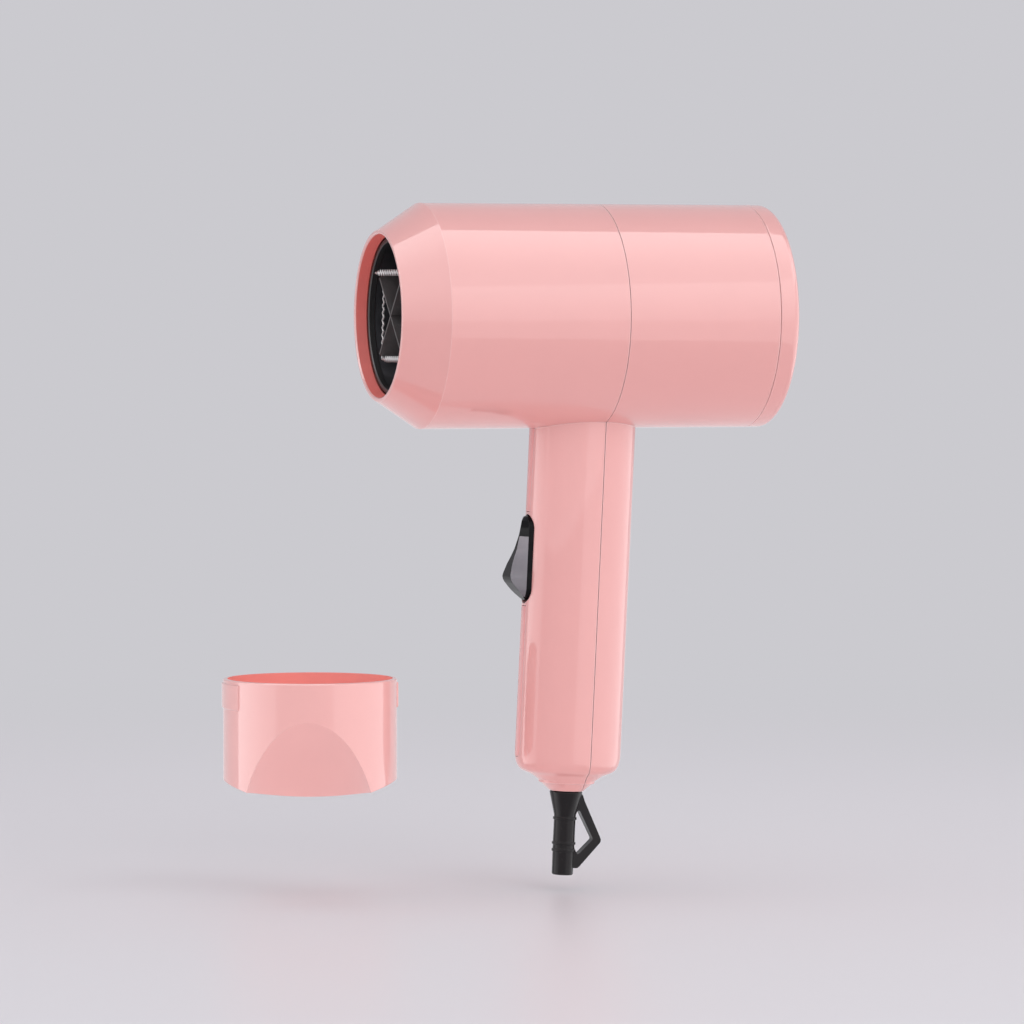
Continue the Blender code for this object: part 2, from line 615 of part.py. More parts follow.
LEADS = {  # colour and route in the handle's frame; each one stops just short of what it is soldered to
    "lead_live": ("lead_red", (
        (0.0, 2.0, -41.5), (2.0, 6.0, -39.0), (3.0, 7.2, -35.0), (5.0, 5.0, -15.0), (6.0, 1.0, 5.0),
        (5.0, 0.0, 9.5), (3.8, 0.0, 10.0))),
    "lead_neutral": ("lead_blue", (
        (0.0, -2.0, -41.5), (3.0, -6.0, -39.0), (6.0, -7.4, -34.0), (8.0, -7.4, 0.0), (8.0, -7.4, 48.0),
        (4.0, -5.5, 62.0), (-6.0, -3.5, 71.0), (-9.0, -3.5, 78.0), (-9.5, -5.0, 88.0), (-13.0, -9.0, 95.5))),
    "lead_motor": ("lead_red", (
        (3.8, 0.0, 26.0), (6.0, 1.5, 27.5), (8.0, 7.0, 38.0), (7.0, 7.4, 48.0), (3.0, 5.5, 61.0),
        (-3.0, 1.5, 68.0), (-8.4, -0.3, 74.0), (-8.6, 0.0, 80.0), (-9.0, 1.0, 87.0), (-9.6, 2.0, 97.0))),
    "lead_heater": ("lead_red", (
        (3.8, 0.0, 18.0), (5.0, 1.5, 19.0), (4.0, 5.0, 26.0), (0.0, 6.6, 38.0), (-2.0, 6.6, 48.0),
        (-4.5, 5.0, 60.0), (-9.5, 3.2, 71.0), (-9.6, 3.4, 78.0), (-9.6, 4.6, 86.0), (-13.0, 9.0, 95.0))),
}
LEAD_R = 0.9


def leads():
    for name, (finish, route) in LEADS.items():
        wire(name, smooth_path(route), LEAD_R, HANDLE, finish)


# ---------------------------------------------------------------- nozzle

def scoop(name, side, radius):
    """A round gouge that slants in from the nozzle's side to its throat: a sheared cylinder."""
    slope = (NOZZLE_R - SCOOP_THROAT) / (SCOOP_TOP_Z - NOZZLE_LOW)
    rings = []
    for z in (SCOOP_TOP_Z + 8.0, NOZZLE_LOW - 6.0):
        centre = SCOOP_THROAT + slope * (z - NOZZLE_LOW) + SCOOP_R
        ring = []
        for i in range(32):
            angle = TURN * i / 32
            ring.append((radius * math.cos(angle), side * (centre + radius * math.sin(angle)), z))
        rings.append(ring)
    return loft(name, rings, NOZZLE)


def nozzle():
    low = NOZZLE_LOW - 5.0
    outline = ((NOZZLE_TOP, 0), (NOZZLE_TOP, NOZZLE_R), (low, NOZZLE_R), (low, 0))
    body = lathe("nozzle", outline, NOZZLE, "pink_plastic", along_x=False, steps=48)
    inner_r = NOZZLE_R - NOZZLE_WALL
    outline = ((NOZZLE_TOP + 5, 0), (NOZZLE_TOP + 5, inner_r), (low - 5, inner_r), (low - 5, 0))
    hollow = lathe("cut_nozzle_hollow", outline, NOZZLE, along_x=False, steps=48)
    # Two low pads below the collar, fore and aft, show where it snaps on.
    for side, name in ((-1, "front"), (1, "rear")):
        outer_r = NOZZLE_R + PAD_PROUD
        pad = tube_ring(f"cut_pad_{name}", PAD_LOW, PAD_TOP, outer_r, 25.0, NOZZLE, along_x=False, steps=50)
        turned = Matrix.Rotation(-NOZZLE_YAW, 4, "Z")
        low_x, high_x = sorted((side * 20.0, side * 40.0))
        corners = (low_x, -PAD_HALF, -40), (high_x, PAD_HALF, -10)
        cut(pad, "INTERSECT", box(f"cut_pad_space_{name}", *corners, NOZZLE, turned=turned))
        cut(body, "UNION", pad)
    for side, name in ((-1, "near"), (1, "far")):
        cut(body, "DIFFERENCE", scoop(f"cut_scoop_{name}", side, SCOOP_R))
        cut(hollow, "DIFFERENCE", scoop(f"cut_scoop_inner_{name}", side, SCOOP_R + 1.9))
    # The slot's lip bulges downwards on a wide arc.
    arc = [
        (LIP_ARC_R * math.cos(a), NOZZLE_LOW + LIP_ARC_R + LIP_ARC_R * math.sin(a))
        for a in (math.radians(-125 + 70 * i / 24) for i in range(25))
    ]
    arc += [(50.0, low - 10.0), (-50.0, low - 10.0)]
    cut(body, "DIFFERENCE", prism("cut_lip", arc, "Y", -61, 59, NOZZLE))
    cut(body, "DIFFERENCE", hollow)


clear_scene()
PARTS = new_collection("travel_hair_dryer")
CUTTERS = new_collection("cutters", hidden=True)
BARREL = frame("barrel_frame", (0, 0, AXIS_HEIGHT))
HANDLE = frame("handle_frame", rotation=(0, HANDLE_LEAN, 0))
NOZZLE = frame("nozzle_frame", (NOZZLE_X, 0, 0), (0, 0, NOZZLE_YAW))
housings()
rear_cap()
switch()
heater()
motor()
fan()
cord_entry()
leads()
nozzle()
bpy.context.view_layer.update()
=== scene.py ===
"""Looks of the travel hair dryer: fine shells over the CAD frame, finishes, lights and camera."""

import math

import bmesh
import bpy
from mathutils import Matrix, Vector


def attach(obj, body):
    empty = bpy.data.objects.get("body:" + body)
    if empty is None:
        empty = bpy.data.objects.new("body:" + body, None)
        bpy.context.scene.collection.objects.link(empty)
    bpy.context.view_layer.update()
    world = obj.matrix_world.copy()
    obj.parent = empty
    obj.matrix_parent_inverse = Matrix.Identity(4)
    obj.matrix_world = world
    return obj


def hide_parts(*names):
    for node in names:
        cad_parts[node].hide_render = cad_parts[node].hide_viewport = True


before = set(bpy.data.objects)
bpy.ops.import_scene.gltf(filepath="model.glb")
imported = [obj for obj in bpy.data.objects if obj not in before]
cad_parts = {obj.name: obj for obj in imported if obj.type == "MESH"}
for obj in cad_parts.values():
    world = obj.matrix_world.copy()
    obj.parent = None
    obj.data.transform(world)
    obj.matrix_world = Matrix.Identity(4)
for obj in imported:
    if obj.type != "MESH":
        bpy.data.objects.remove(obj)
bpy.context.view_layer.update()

MM = 0.001
TURN = 2 * math.pi
GAP = 0.22  # mm between neighbouring shells
FINE_EDGE = 0.0003  # m, the rounding that the finishes give to sharp edges

# Sizes in mm, in three frames: the barrel's axis, the leaning handle, the nozzle's upright axis
AXIS_HEIGHT = 105.0
MOUTH_X, CONE_END_X, SEAM_X, CAP_X, REAR_X = -73.2, -58.1, 7.5, 63.7, 71.3
MOUTH_R, MOUTH_BORE_R, BARREL_R, WALL = 30.2, 28.9, 40.0, 2.0
HANDLE_LEAN = math.radians(2.72)
HANDLE_A, HANDLE_B, HANDLE_POWER, HANDLE_TOP = 19.25, 13.5, 2.2, 76.0
SPLIT_BEHIND_AXIS, JUNCTION_Z = 4.25, 67.4
# Height along the handle, share of the half width, share of the half depth
SHOULDER = (
    (-52.5, 1.0, 1.0), (-55.4, 0.96, 0.975), (-57.5, 0.87, 0.9), (-59.0, 0.69, 0.76), (-60.9, 0.53, 0.64),
)
COLLAR = (
    (-61.25, 0.527, 0.632), (-61.8, 0.52, 0.62), (-62.0, 0.485, 0.585), (-64.3, 0.332, 0.472),
    (-64.6, 0.318, 0.455),
)
HANDLE_HOLLOW_FOOT = ((-51.5, 1.0, 1.0), (-54.5, 0.93, 0.95), (-57.0, 0.6, 0.74))
SWITCH_LOW, SWITCH_HIGH, SWITCH_HALF = 2.9, 33.3, 4.8
# Height along the handle, and how far the rocker stands proud there
SWITCH_PROFILE = (
    (33.3, 0.0), (32.6, 1.2), (31.1, 2.0), (26.4, 2.6), (21.1, 3.8), (15.7, 5.8), (12.2, 6.72), (11.1, 6.8),
    (10.1, 6.55), (9.2, 6.0), (6.5, 3.6), (3.4, 0.4), (2.9, 0.0),
)
# Half width of the rocker's front face, and where its back runs
SWITCH_CREASE = ((33.3, 0.05), (30.5, 0.15), (25.3, 0.6), (18.2, 2.1), (11.1, 4.75), (2.9, 4.75))
SWITCH_BACK = ((32.4, -17.0), (24.0, -13.2), (17.8, -11.8), (12.0, -13.2), (4.4, -17.0))
SWITCH_SIDE_GAP, SWITCH_HEEL_GAP, SWITCH_TOE_GAP = 0.32, 1.0, 0.35
PIVOT_X, PIVOT_Z, PIVOT_R = -13.5, 17.8, 0.8
LINER_R, LINER_WALL, LINER_FRONT, LINER_REAR = 27.4, 0.7, -66.2, -8.0
BOARD_HALF, BOARD_THICK, BOARD_FRONT, BOARD_REAR = 20.0, 0.6, -68.5, -10.0
WIRE_RING_R, WIRE_R, WIRE_PITCH, WIRE_TURNS = 21.6, 0.4, 3.2, 7
CRIMP, CRIMP_PITCH = 0.8, 2.6
FAN_R, FAN_HUB_R, FAN_FRONT, FAN_REAR, FAN_BLADES = 35.0, 9.0, 40.5, 52.5, 7
GRILLE_HUB_R, GRILLE_R, GRILLE_RINGS, GRILLE_BAR, GRILLE_SPOKES = 10.0, 31.6, 3, 2.4, 6
GAUZE_X, GAUZE_PITCH, GAUZE_LIFT, GAUZE_WIRE_R = 68.0, 1.5, 0.14, 0.13
NOZZLE_X, NOZZLE_YAW = -98.1, math.radians(-17)
NOZZLE_R, NOZZLE_WALL, NOZZLE_TOP, NOZZLE_LOW = 30.6, 1.5, -22.3, -63.8
SCOOP_R, SCOOP_TOP_Z, SCOOP_THROAT, SCOOP_WALL, LIP_ARC_R = 23.1, -35.8, 4.0, 1.9, 79.0
PAD_LOW, PAD_TOP, PAD_PROUD, PAD_HALF, PAD_ROOT_R = -32.6, -23.6, 0.5, 10.5, 25.0
SCREW_HEIGHTS = {"housing_screw_upper": 48.0, "housing_screw_lower": -36.0}
SCREW_HEAD_R, SCREW_SHANK_R, FRONT_BOSS_R, REAR_BOSS_R = 2.7, 1.2, 3.2, 4.6
CLAMP_Z, CLAMP_SCREW_Y, CLAMP_POST_R, CLAMP_PILOT_R = -47.0, 6.5, 2.4, 1.4
CORD_BORE_R, CORD_WAY_R = 3.1, 4.7
# Outlines of the hang loop and of the hole in it: distance to one side, height along the handle
LOOP_OUTLINE = (
    (2.6, -65.3), (5.4, -65.6), (5.9, -66.3), (6.7, -68.4), (12.9, -80.8), (13.4, -82.0), (13.2, -83.0),
    (12.6, -83.7), (5.6, -91.8), (4.9, -92.3), (2.6, -92.4),
)
LOOP_EYE = (
    (3.4, -73.4), (4.0, -71.9), (4.6, -71.7), (5.1, -72.0), (10.2, -81.3), (10.3, -81.9), (10.0, -82.3),
    (5.5, -87.0), (4.8, -87.3), (4.4, -86.8), (3.4, -85.0),
)

WORLD = Matrix()
BARREL = Matrix.Translation((0, 0, AXIS_HEIGHT * MM))
HANDLE = Matrix.Rotation(HANDLE_LEAN, 4, "Y")
NOZZLE = Matrix.Translation((NOZZLE_X * MM, 0, 0)) @ Matrix.Rotation(NOZZLE_YAW, 4, "Z")
ROUND = 256


# ---------------------------------------------------------------- mesh helpers

def made(name, data, where):
    """An object from mesh data in mm, moved by where into the shared frame."""
    bmesh.ops.recalc_face_normals(data, faces=data.faces)
    bmesh.ops.transform(data, matrix=where @ Matrix.Scale(MM, 4), verts=data.verts)
    mesh = bpy.data.meshes.new(name)
    data.to_mesh(mesh)
    data.free()
    obj = bpy.data.objects.new(name, mesh)
    bpy.context.scene.collection.objects.link(obj)
    return obj


def skin(data, rows, closed=False):
    """Faces between rows of vertices; a row of one vertex is a point."""
    pairs = list(zip(rows, rows[1:]))
    if closed:
        pairs.append((rows[-1], rows[0]))
    for a, b in pairs:
        count = max(len(a), len(b))
        for i in range(count):
            j = (i + 1) % count
            corners = [a[i % len(a)], a[j % len(a)], b[j % len(b)], b[i % len(b)]]
            data.faces.new(list(dict.fromkeys(corners)))


def turned(name, outline, where, steps=ROUND, along_x=True, closed=False):
    """A turned solid from (station, radius) points."""
    data = bmesh.new()
    rows = []
    for station, radius in outline:
        row = []
        for i in range(steps if radius > 1e-6 else 1):
            angle = TURN * i / steps
            across = (radius * math.cos(angle), radius * math.sin(angle))
            row.append(data.verts.new((station, *across) if along_x else (*across, station)))
        rows.append(row)
    skin(data, rows, closed)
    return made(name, data, where)


def loft(name, rings, where):
    """A skin over rings of points in mm, with a face at each end."""
    data = bmesh.new()
    rows = [[data.verts.new(point) for point in ring] for ring in rings]
    skin(data, rows)
    data.faces.new(rows[0])
    data.faces.new(rows[-1])
    return made(name, data, where)


def prism(name, outline, axis, low, high, where):
    """An outline carried along one axis from low to high."""
    index = "XYZ".index(axis)
    rings = []
    for level in (low, high):
        ring = []
        for pair in outline:
            point = list(pair)
            point.insert(index, level)
            ring.append(point)
        rings.append(ring)
    return loft(name, rings, where)


def box(name, low, high, where):
    """A box between two opposite corners."""
    outline = [(low[1], low[2]), (high[1], low[2]), (high[1], high[2]), (low[1], high[2])]
    return prism(name, outline, "X", low[0], high[0], where)


def rod(name, start, end, radius, where, sides=64):
    """A round bar from start to end."""
    start, end = Vector(start), Vector(end)
    turn = (end - start).to_track_quat("Z", "Y").to_matrix()
    rings = []
    for centre in (start, end):
        angles = [TURN * (i + 0.5) / sides for i in range(sides)]
        rings.append([
            centre + turn @ Vector((radius * math.cos(a), radius * math.sin(a), 0)) for a in angles
        ])
    return loft(name, rings, where)


def boolean(target, operation, *tools):
    """Cuts or joins at once, and removes the tools."""
    for tool in tools:
        step = target.modifiers.new("step", "BOOLEAN")
        step.operation = operation
        step.object = tool
        step.solver = "MANIFOLD"
    bpy.context.view_layer.update()
    graph = bpy.context.evaluated_depsgraph_get()
    mesh = bpy.data.meshes.new_from_object(target.evaluated_get(graph))
    target.modifiers.clear()
    target.data = mesh
    for tool in tools:
        bpy.data.objects.remove(tool, do_unlink=True)
    return target


def joined(target, *others):
    """Several meshes as one object."""
    data = bmesh.new()
    for obj in (target, *others):
        data.from_mesh(obj.data)
    data.to_mesh(target.data)
    data.free()
    for obj in others:
        bpy.data.objects.remove(obj, do_unlink=True)


def smooth_path(points, per_span):
    """A smooth curve through the points."""
    route = [Vector(p) for p in points]
    ends = [2 * route[0] - route[1], *route, 2 * route[-1] - route[-2]]
    found = []
    for a, b, c, d in zip(ends, ends[1:], ends[2:], ends[3:]):
        for step in range(per_span):
            t = step / per_span
            bend, twist = 2 * a - 5 * b + 4 * c - d, 3 * b - a - 3 * c + d
            found.append(0.5 * (2 * b + (c - a) * t + bend * t**2 + twist * t**3))
    return found + [route[-1]]


def tube(name, points, radius, where, sides=12):
    """A round wire through the points, square across its own run at each of them."""
    points = [Vector(p) for p in points]
    data = bmesh.new()
    rows = []
    side = None
    for i, point in enumerate(points):
        run = (points[min(i + 1, len(points) - 1)] - points[max(i - 1, 0)]).normalized()
        if side is None:
            side = run.orthogonal()
        side = (side - run * side.dot(run)).normalized()
        up = run.cross(side)
        angles = [TURN * k / sides for k in range(sides)]
        rows.append([
            data.verts.new(point + radius * (math.cos(a) * side + math.sin(a) * up)) for a in angles
        ])
    skin(data, rows)
    data.faces.new(rows[0])
    data.faces.new(rows[-1])
    return made(name, data, where)


def at(table, key):
    """Straight-line reading of a table of (key, value), keys falling."""
    for (k1, v1), (k2, v2) in zip(table, table[1:]):
        if k1 >= key >= k2:
            return v1 + (v2 - v1) * (k1 - key) / (k1 - k2)
    return table[0][1] if key > table[0][0] else table[-1][1]


def corner(x, r, radius, start, end, steps):
    """Points of a rounded corner about a centre, from one bearing in degrees to another."""
    angles = [math.radians(start + (end - start) * i / steps) for i in range(steps + 1)]
    return [(x + radius * math.cos(a), r + radius * math.sin(a)) for a in angles]


def shade_barrel_inside(obj):
    """Painted shade: a darker, redder second finish on the faces inside the barrel, where the inside lies in
    shade.
    """
    obj.data.materials.append(FINISHES["pink_inner_painted_shade"])
    rim, flare = 0.4, BARREL_R - WALL - MOUTH_BORE_R + 0.4
    for face in obj.data.polygons:
        x, y, z = face.center / MM
        along_cone = max(0.0, min(1.0, (x - MOUTH_X) / (CONE_END_X - MOUTH_X)))
        bore = MOUTH_BORE_R + 0.2 + flare * along_cone
        if x > MOUTH_X + rim and math.hypot(y, z - AXIS_HEIGHT) < bore:
            face.material_index = 1


def piece(obj, body, look, *nodes, sharp=32):
    """Smooth shading, finish and slot, and the piece's place on the frame."""
    obj.data.materials.clear()
    obj.data.materials.append(FINISHES[look])
    obj.data.shade_smooth()
    obj.data.set_sharp_from_angle(angle=math.radians(sharp))
    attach(obj, body)
    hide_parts(*nodes)
    return obj


# ---------------------------------------------------------------- finishes

def finish(
    name, colour, roughness, metallic=0.0, coat=0.0, coat_rough=0.05, edge=0.0, mottle=0.03,
    grain=(2500.0, 0.00001), smudge=0.05, wear=0.0, edge_light=0.75, ior=1.5,
):
    """A procedural finish: mottled colour, smudged roughness, fine grain, eased edges with a painted
    highlight along them.
    """
    made_material = bpy.data.materials.new(name)
    made_material.use_nodes = True
    tree = made_material.node_tree
    shader = tree.nodes["Principled BSDF"]
    new, link = tree.nodes.new, tree.links.new
    where = new("ShaderNodeTexCoord")

    def noise(scale, detail=4.0, rough=0.55):
        node = new("ShaderNodeTexNoise")
        node.inputs["Scale"].default_value = scale
        node.inputs["Detail"].default_value = detail
        node.inputs["Roughness"].default_value = rough
        link(where.outputs["Object"], node.inputs["Vector"])
        return node.outputs["Fac"]

    def spread(source, low, high, start=0.3, stop=0.7):
        node = new("ShaderNodeMapRange")
        node.inputs["From Min"].default_value = start
        node.inputs["From Max"].default_value = stop
        node.inputs["To Min"].default_value = low
        node.inputs["To Max"].default_value = high
        link(source, node.inputs["Value"])
        return node.outputs["Result"]

    tint = new("ShaderNodeMix")
    tint.data_type = "RGBA"
    tint.inputs["A"].default_value = (*[c * (1 - mottle) for c in colour], 1)
    tint.inputs["B"].default_value = (*[min(1.0, c * (1 + mottle)) for c in colour], 1)
    link(spread(noise(45.0), 0.0, 1.0), tint.inputs["Factor"])
    colour_out = tint.outputs["Result"]
    if wear:
        worn = new("ShaderNodeMix")
        worn.data_type = "RGBA"
        worn.inputs["B"].default_value = (*[0.35 + 0.6 * c for c in colour], 1)
        link(colour_out, worn.inputs["A"])
        link(spread(noise(700.0, 6.0, 0.7), 0.0, wear, 0.6, 0.75), worn.inputs["Factor"])
        colour_out = worn.outputs["Result"]
    rough_out = spread(noise(110.0, 5.0), roughness * (1 - smudge), min(1.0, roughness * (1 + smudge)))
    link(rough_out, shader.inputs["Roughness"])
    shader.inputs["Metallic"].default_value = metallic
    shader.inputs["IOR"].default_value = ior
    shader.inputs["Coat Weight"].default_value = coat
    shader.inputs["Coat Roughness"].default_value = coat_rough
    fineness, height = grain
    bump = new("ShaderNodeBump")
    bump.inputs["Strength"].default_value = 1.0
    bump.inputs["Distance"].default_value = height
    link(noise(fineness, 3.0), bump.inputs["Height"])
    if edge:
        eased = new("ShaderNodeBevel")
        eased.samples = 6
        eased.inputs["Radius"].default_value = edge
        link(eased.outputs["Normal"], bump.inputs["Normal"])
        # Painted highlight: a lighter colour along edges and creases, where the eased normal turns from the
        # surface's own; edge_light sets its strength
        surface = new("ShaderNodeNewGeometry")
        same = new("ShaderNodeVectorMath")
        same.operation = "DOT_PRODUCT"
        link(eased.outputs["Normal"], same.inputs[0])
        link(surface.outputs["Normal"], same.inputs[1])
        painted_edge_highlight = new("ShaderNodeMix")
        painted_edge_highlight.data_type = "RGBA"
        painted_edge_highlight.inputs["B"].default_value = (*[min(1.0, 0.25 + 0.75 * c + 0.1 * (c > 0.3)) for c in colour], 1)
        link(colour_out, painted_edge_highlight.inputs["A"])
        link(spread(same.outputs["Value"], edge_light, 0.0, 0.93, 0.995), painted_edge_highlight.inputs["Factor"])
        colour_out = painted_edge_highlight.outputs["Result"]
        if coat:
            link(eased.outputs["Normal"], shader.inputs["Coat Normal"])
    link(colour_out, shader.inputs["Base Color"])
    link(bump.outputs["Normal"], shader.inputs["Normal"])
    return made_material


LOOKS = {
    "pink_shell": dict(
        colour=(0.745, 0.335, 0.315), roughness=0.42, coat=1.0, coat_rough=0.04, edge=0.0005,
        mottle=0.012, wear=0.05,
    ),
    # Painted shade: the trims are a deeper, redder pink than the shell, for the shade on the sunken strips
    "pink_trim": dict(
        colour=(0.82, 0.30, 0.285), roughness=0.42, coat=0.9, coat_rough=0.04, edge=0.0002,
        mottle=0.015,
    ),
    # Painted light: the nozzle's pink is lighter than the shell's, for the brighter light that falls on the
    # nozzle
    "pink_nozzle": dict(
        colour=(0.80, 0.385, 0.36), roughness=0.40, coat=1.0, coat_rough=0.03, edge=FINE_EDGE,
        mottle=0.015, wear=0.05, edge_light=0.25,
    ),
    # Painted shade: the barrel's inside, darker and redder than the shell
    "pink_inner_painted_shade": dict(colour=(0.80, 0.15, 0.125), roughness=0.6, mottle=0.08, wear=0.1),
    # Painted shade: the nozzle's inside, a deeper, redder pink than its outside
    "pink_nozzle_painted_shade": dict(colour=(0.90, 0.29, 0.25), roughness=0.6, mottle=0.05),
    "gloss_black": dict(
        colour=(0.006, 0.006, 0.007), roughness=0.1, edge=FINE_EDGE, grain=(1800.0, 0.000003),
        edge_light=0.08, ior=1.14,
    ),
    # Painted reflection: a lighter charcoal on the black rocker's flanks, for the light they reflect
    "charcoal_painted_reflection": dict(
        colour=(0.17, 0.16, 0.18), roughness=0.25, edge=FINE_EDGE, mottle=0.25,
        grain=(1800.0, 0.000003), edge_light=0.08,
    ),
    "black_moulding": dict(
        colour=(0.014, 0.014, 0.015), roughness=0.38, grain=(3500.0, 0.00003), wear=0.1,
    ),
    "black_rubber": dict(
        colour=(0.012, 0.010, 0.011), roughness=0.2, edge=FINE_EDGE, grain=(4000.0, 0.000015),
        wear=0.06, edge_light=0.08, ior=1.25,
    ),
    "grey_moulding": dict(
        colour=(0.32, 0.32, 0.33), roughness=0.5, mottle=0.06, grain=(3500.0, 0.00003), wear=0.1,
    ),
    "filter_mesh": dict(colour=(0.42, 0.42, 0.43), roughness=0.38, metallic=1.0, mottle=0.1),
    "dark_steel": dict(colour=(0.10, 0.10, 0.11), roughness=0.42, metallic=1.0, mottle=0.25, smudge=0.25),
    "bright_steel": dict(
        colour=(0.62, 0.62, 0.63), roughness=0.28, metallic=1.0, mottle=0.06, smudge=0.2,
    ),
    "heating_wire": dict(colour=(0.40, 0.39, 0.39), roughness=0.32, metallic=0.7, mottle=0.12),
    "terminal_brass": dict(colour=(0.78, 0.58, 0.26), roughness=0.32, metallic=1.0, mottle=0.12),
    # Painted shade: the boards are near black for the shade deep in the barrel; the paler flecks are wear
    "mica": dict(colour=(0.075, 0.07, 0.07), roughness=0.4, mottle=0.4, smudge=0.3, wear=0.2),
    "circuit_board": dict(colour=(0.05, 0.22, 0.10), roughness=0.4, mottle=0.12),
    "lead_red": dict(colour=(0.45, 0.02, 0.02), roughness=0.42, mottle=0.08),
    "lead_blue": dict(colour=(0.02, 0.07, 0.34), roughness=0.42, mottle=0.08),
}
FINISHES = {name: finish(name, **look) for name, look in LOOKS.items()}


def finish_frame_nodes():
    """Finishes on the CAD pieces that stay as they are, by name or by how the name starts."""
    exact = {
        "switch_body": "black_moulding", "motor_end_cap": "black_moulding",
        "motor_damper": "black_rubber", "air_duct": "grey_moulding", "motor_holder": "grey_moulding",
        "suppressor_capacitor": "grey_moulding", "cord_clamp": "grey_moulding",
        "rectifier_board": "circuit_board", "lead_neutral": "lead_blue",
    }
    families = (
        ("rectifier_diode", "black_moulding"), ("lead_", "lead_red"), ("motor_terminal", "terminal_brass"),
        ("switch_terminal", "terminal_brass"), ("motor_bushing", "terminal_brass"),
        ("thermal_fuse", "terminal_brass"),
    )
    for name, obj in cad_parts.items():
        by_family = next((look for start, look in families if name.startswith(start)), "bright_steel")
        chosen = exact.get(name, by_family)
        for place in obj.material_slots:
            place.link = "OBJECT"
            place.material = FINISHES[chosen]


# ---------------------------------------------------------------- handle and barrel shells

def oval(a, b, z):
    """A ring of points at height z, a little squarer than an ellipse."""
    sides, ring = 192, []
    for i in range(sides):
        angle = TURN * i / sides
        c, s = math.cos(angle), math.sin(angle)
        x = math.copysign(abs(c) ** (2 / HANDLE_POWER), c) * a
        y = math.copysign(abs(s) ** (2 / HANDLE_POWER), s) * b
        ring.append((x, y, z))
    return ring


def stadium(half, low, high):
    """An upright outline with round ends."""
    sides, points = 32, []
    for middle, start in ((high - half, 0.0), (low + half, math.pi)):
        angles = [start + math.pi * i / sides for i in range(sides + 1)]
        points += [(half * math.cos(a), middle + half * math.sin(a)) for a in angles]
    return points


def handle_solid(name, inset, foot):
    """The handle's solid, inset from its surface, down to the foot it is given."""
    a, b = HANDLE_A - inset, HANDLE_B - inset
    rings = [oval(a, b, HANDLE_TOP)]
    rings += [oval(a * wide, b * deep, z) for z, wide, deep in foot]
    return loft(name, rings, HANDLE)


def outer_foot():
    """The foot's outside: a smooth shoulder and lip, then the collar."""
    shoulder = [(p.x, p.y, p.z) for p in smooth_path([Vector(p) for p in SHOULDER], 5)]
    return shoulder + list(COLLAR)


def housing_half(name, front):
    """The space in front of or behind the seam, which bends where the barrel meets the handle."""
    reach, foot, lean = 260.0, -130.0, math.tan(HANDLE_LEAN)
    side = -1 if front else 1
    bend_x = SEAM_X + side * GAP / 2
    low_x = SEAM_X - (JUNCTION_Z - foot) * lean + side * GAP / 2
    far = side * reach
    outline = [(bend_x, reach), (far, reach), (far, foot), (low_x, foot), (bend_x, JUNCTION_Z)]
    return prism(name, outline, "Y", -reach, reach, WORLD)


def strip_outline(low, high, low_half, high_half, round_low, extra):
    """A trim's outline, widened by extra, with a square or a round lower end."""
    outline = [(high_half + extra, high + extra), (-high_half - extra, high + extra)]
    if round_low:
        radius = low_half + extra
        middle = low - extra + radius
        angles = [math.pi * i / 24 for i in range(25)]
        return outline + [(-radius * math.cos(a), middle - radius * math.sin(a)) for a in angles]
    return outline + [(-low_half - extra, low - extra), (low_half + extra, low - extra)]


STRIP_THICK, STRIP_SINK = 1.0, 0.08
# Low and high end, half width at each, and whether the low end is round
STRIPS = {
    "front_strip_upper": (34.6, 64.2, 1.7, 2.8, False),
    "front_strip_lower": (-52.8, 0.9, 2.4, 2.2, True),
}


def barrel_hollow():
    """The barrel's inside: the bore, the cone and the eased edge of the mouth."""
    bore, edge = BARREL_R - WALL, MOUTH_BORE_R + 0.35
    outline = [
        (REAR_X, 0.0), (REAR_X, bore), (CONE_END_X + 0.6, bore), (MOUTH_X + 4.2, MOUTH_BORE_R - 0.7),
        (MOUTH_X + 0.5, MOUTH_BORE_R - 0.1), (MOUTH_X, edge), (MOUTH_X - 1.0, edge), (MOUTH_X - 1.0, 0.0),
    ]
    return turned("hollow", outline, BARREL)


def shell(name, outline, front):
    """One housing half with its share of the handle, hollowed and split at the seam."""
    body = turned(name, outline, BARREL)
    boolean(body, "UNION", handle_solid("grip", 0.0, outer_foot()))
    boolean(body, "DIFFERENCE", barrel_hollow(), handle_solid("grip_hollow", WALL, HANDLE_HOLLOW_FOOT))
    boolean(body, "DIFFERENCE", rod("cord_hole", (0, 0, -70), (0, 0, -54), CORD_WAY_R, HANDLE))
    boolean(body, "INTERSECT", housing_half("half", front))
    return body


def make_trims(front):
    """The narrow trims in the handle's front, and their recesses in the front shell."""
    for name, sizes in STRIPS.items():
        recess = prism(name, strip_outline(*sizes, GAP), "X", -22, -14, HANDLE)
        boolean(recess, "DIFFERENCE", handle_solid("floor", STRIP_THICK + GAP, outer_foot()))
        boolean(front, "DIFFERENCE", recess)
        trim = prism(name.replace("strip", "trim"), strip_outline(*sizes, 0), "X", -21, -15, HANDLE)
        boolean(trim, "INTERSECT", handle_solid("skin", STRIP_SINK, outer_foot()))
        boolean(trim, "DIFFERENCE", handle_solid("back", STRIP_THICK, outer_foot()))
        piece(trim, "dryer", "pink_trim", name)


def across_handle(name, low_x, high_x, z, radius, y=0.0):
    """A round bar through the handle from front to back."""
    return rod(name, (low_x, y, z), (high_x, y, z), radius, HANDLE)


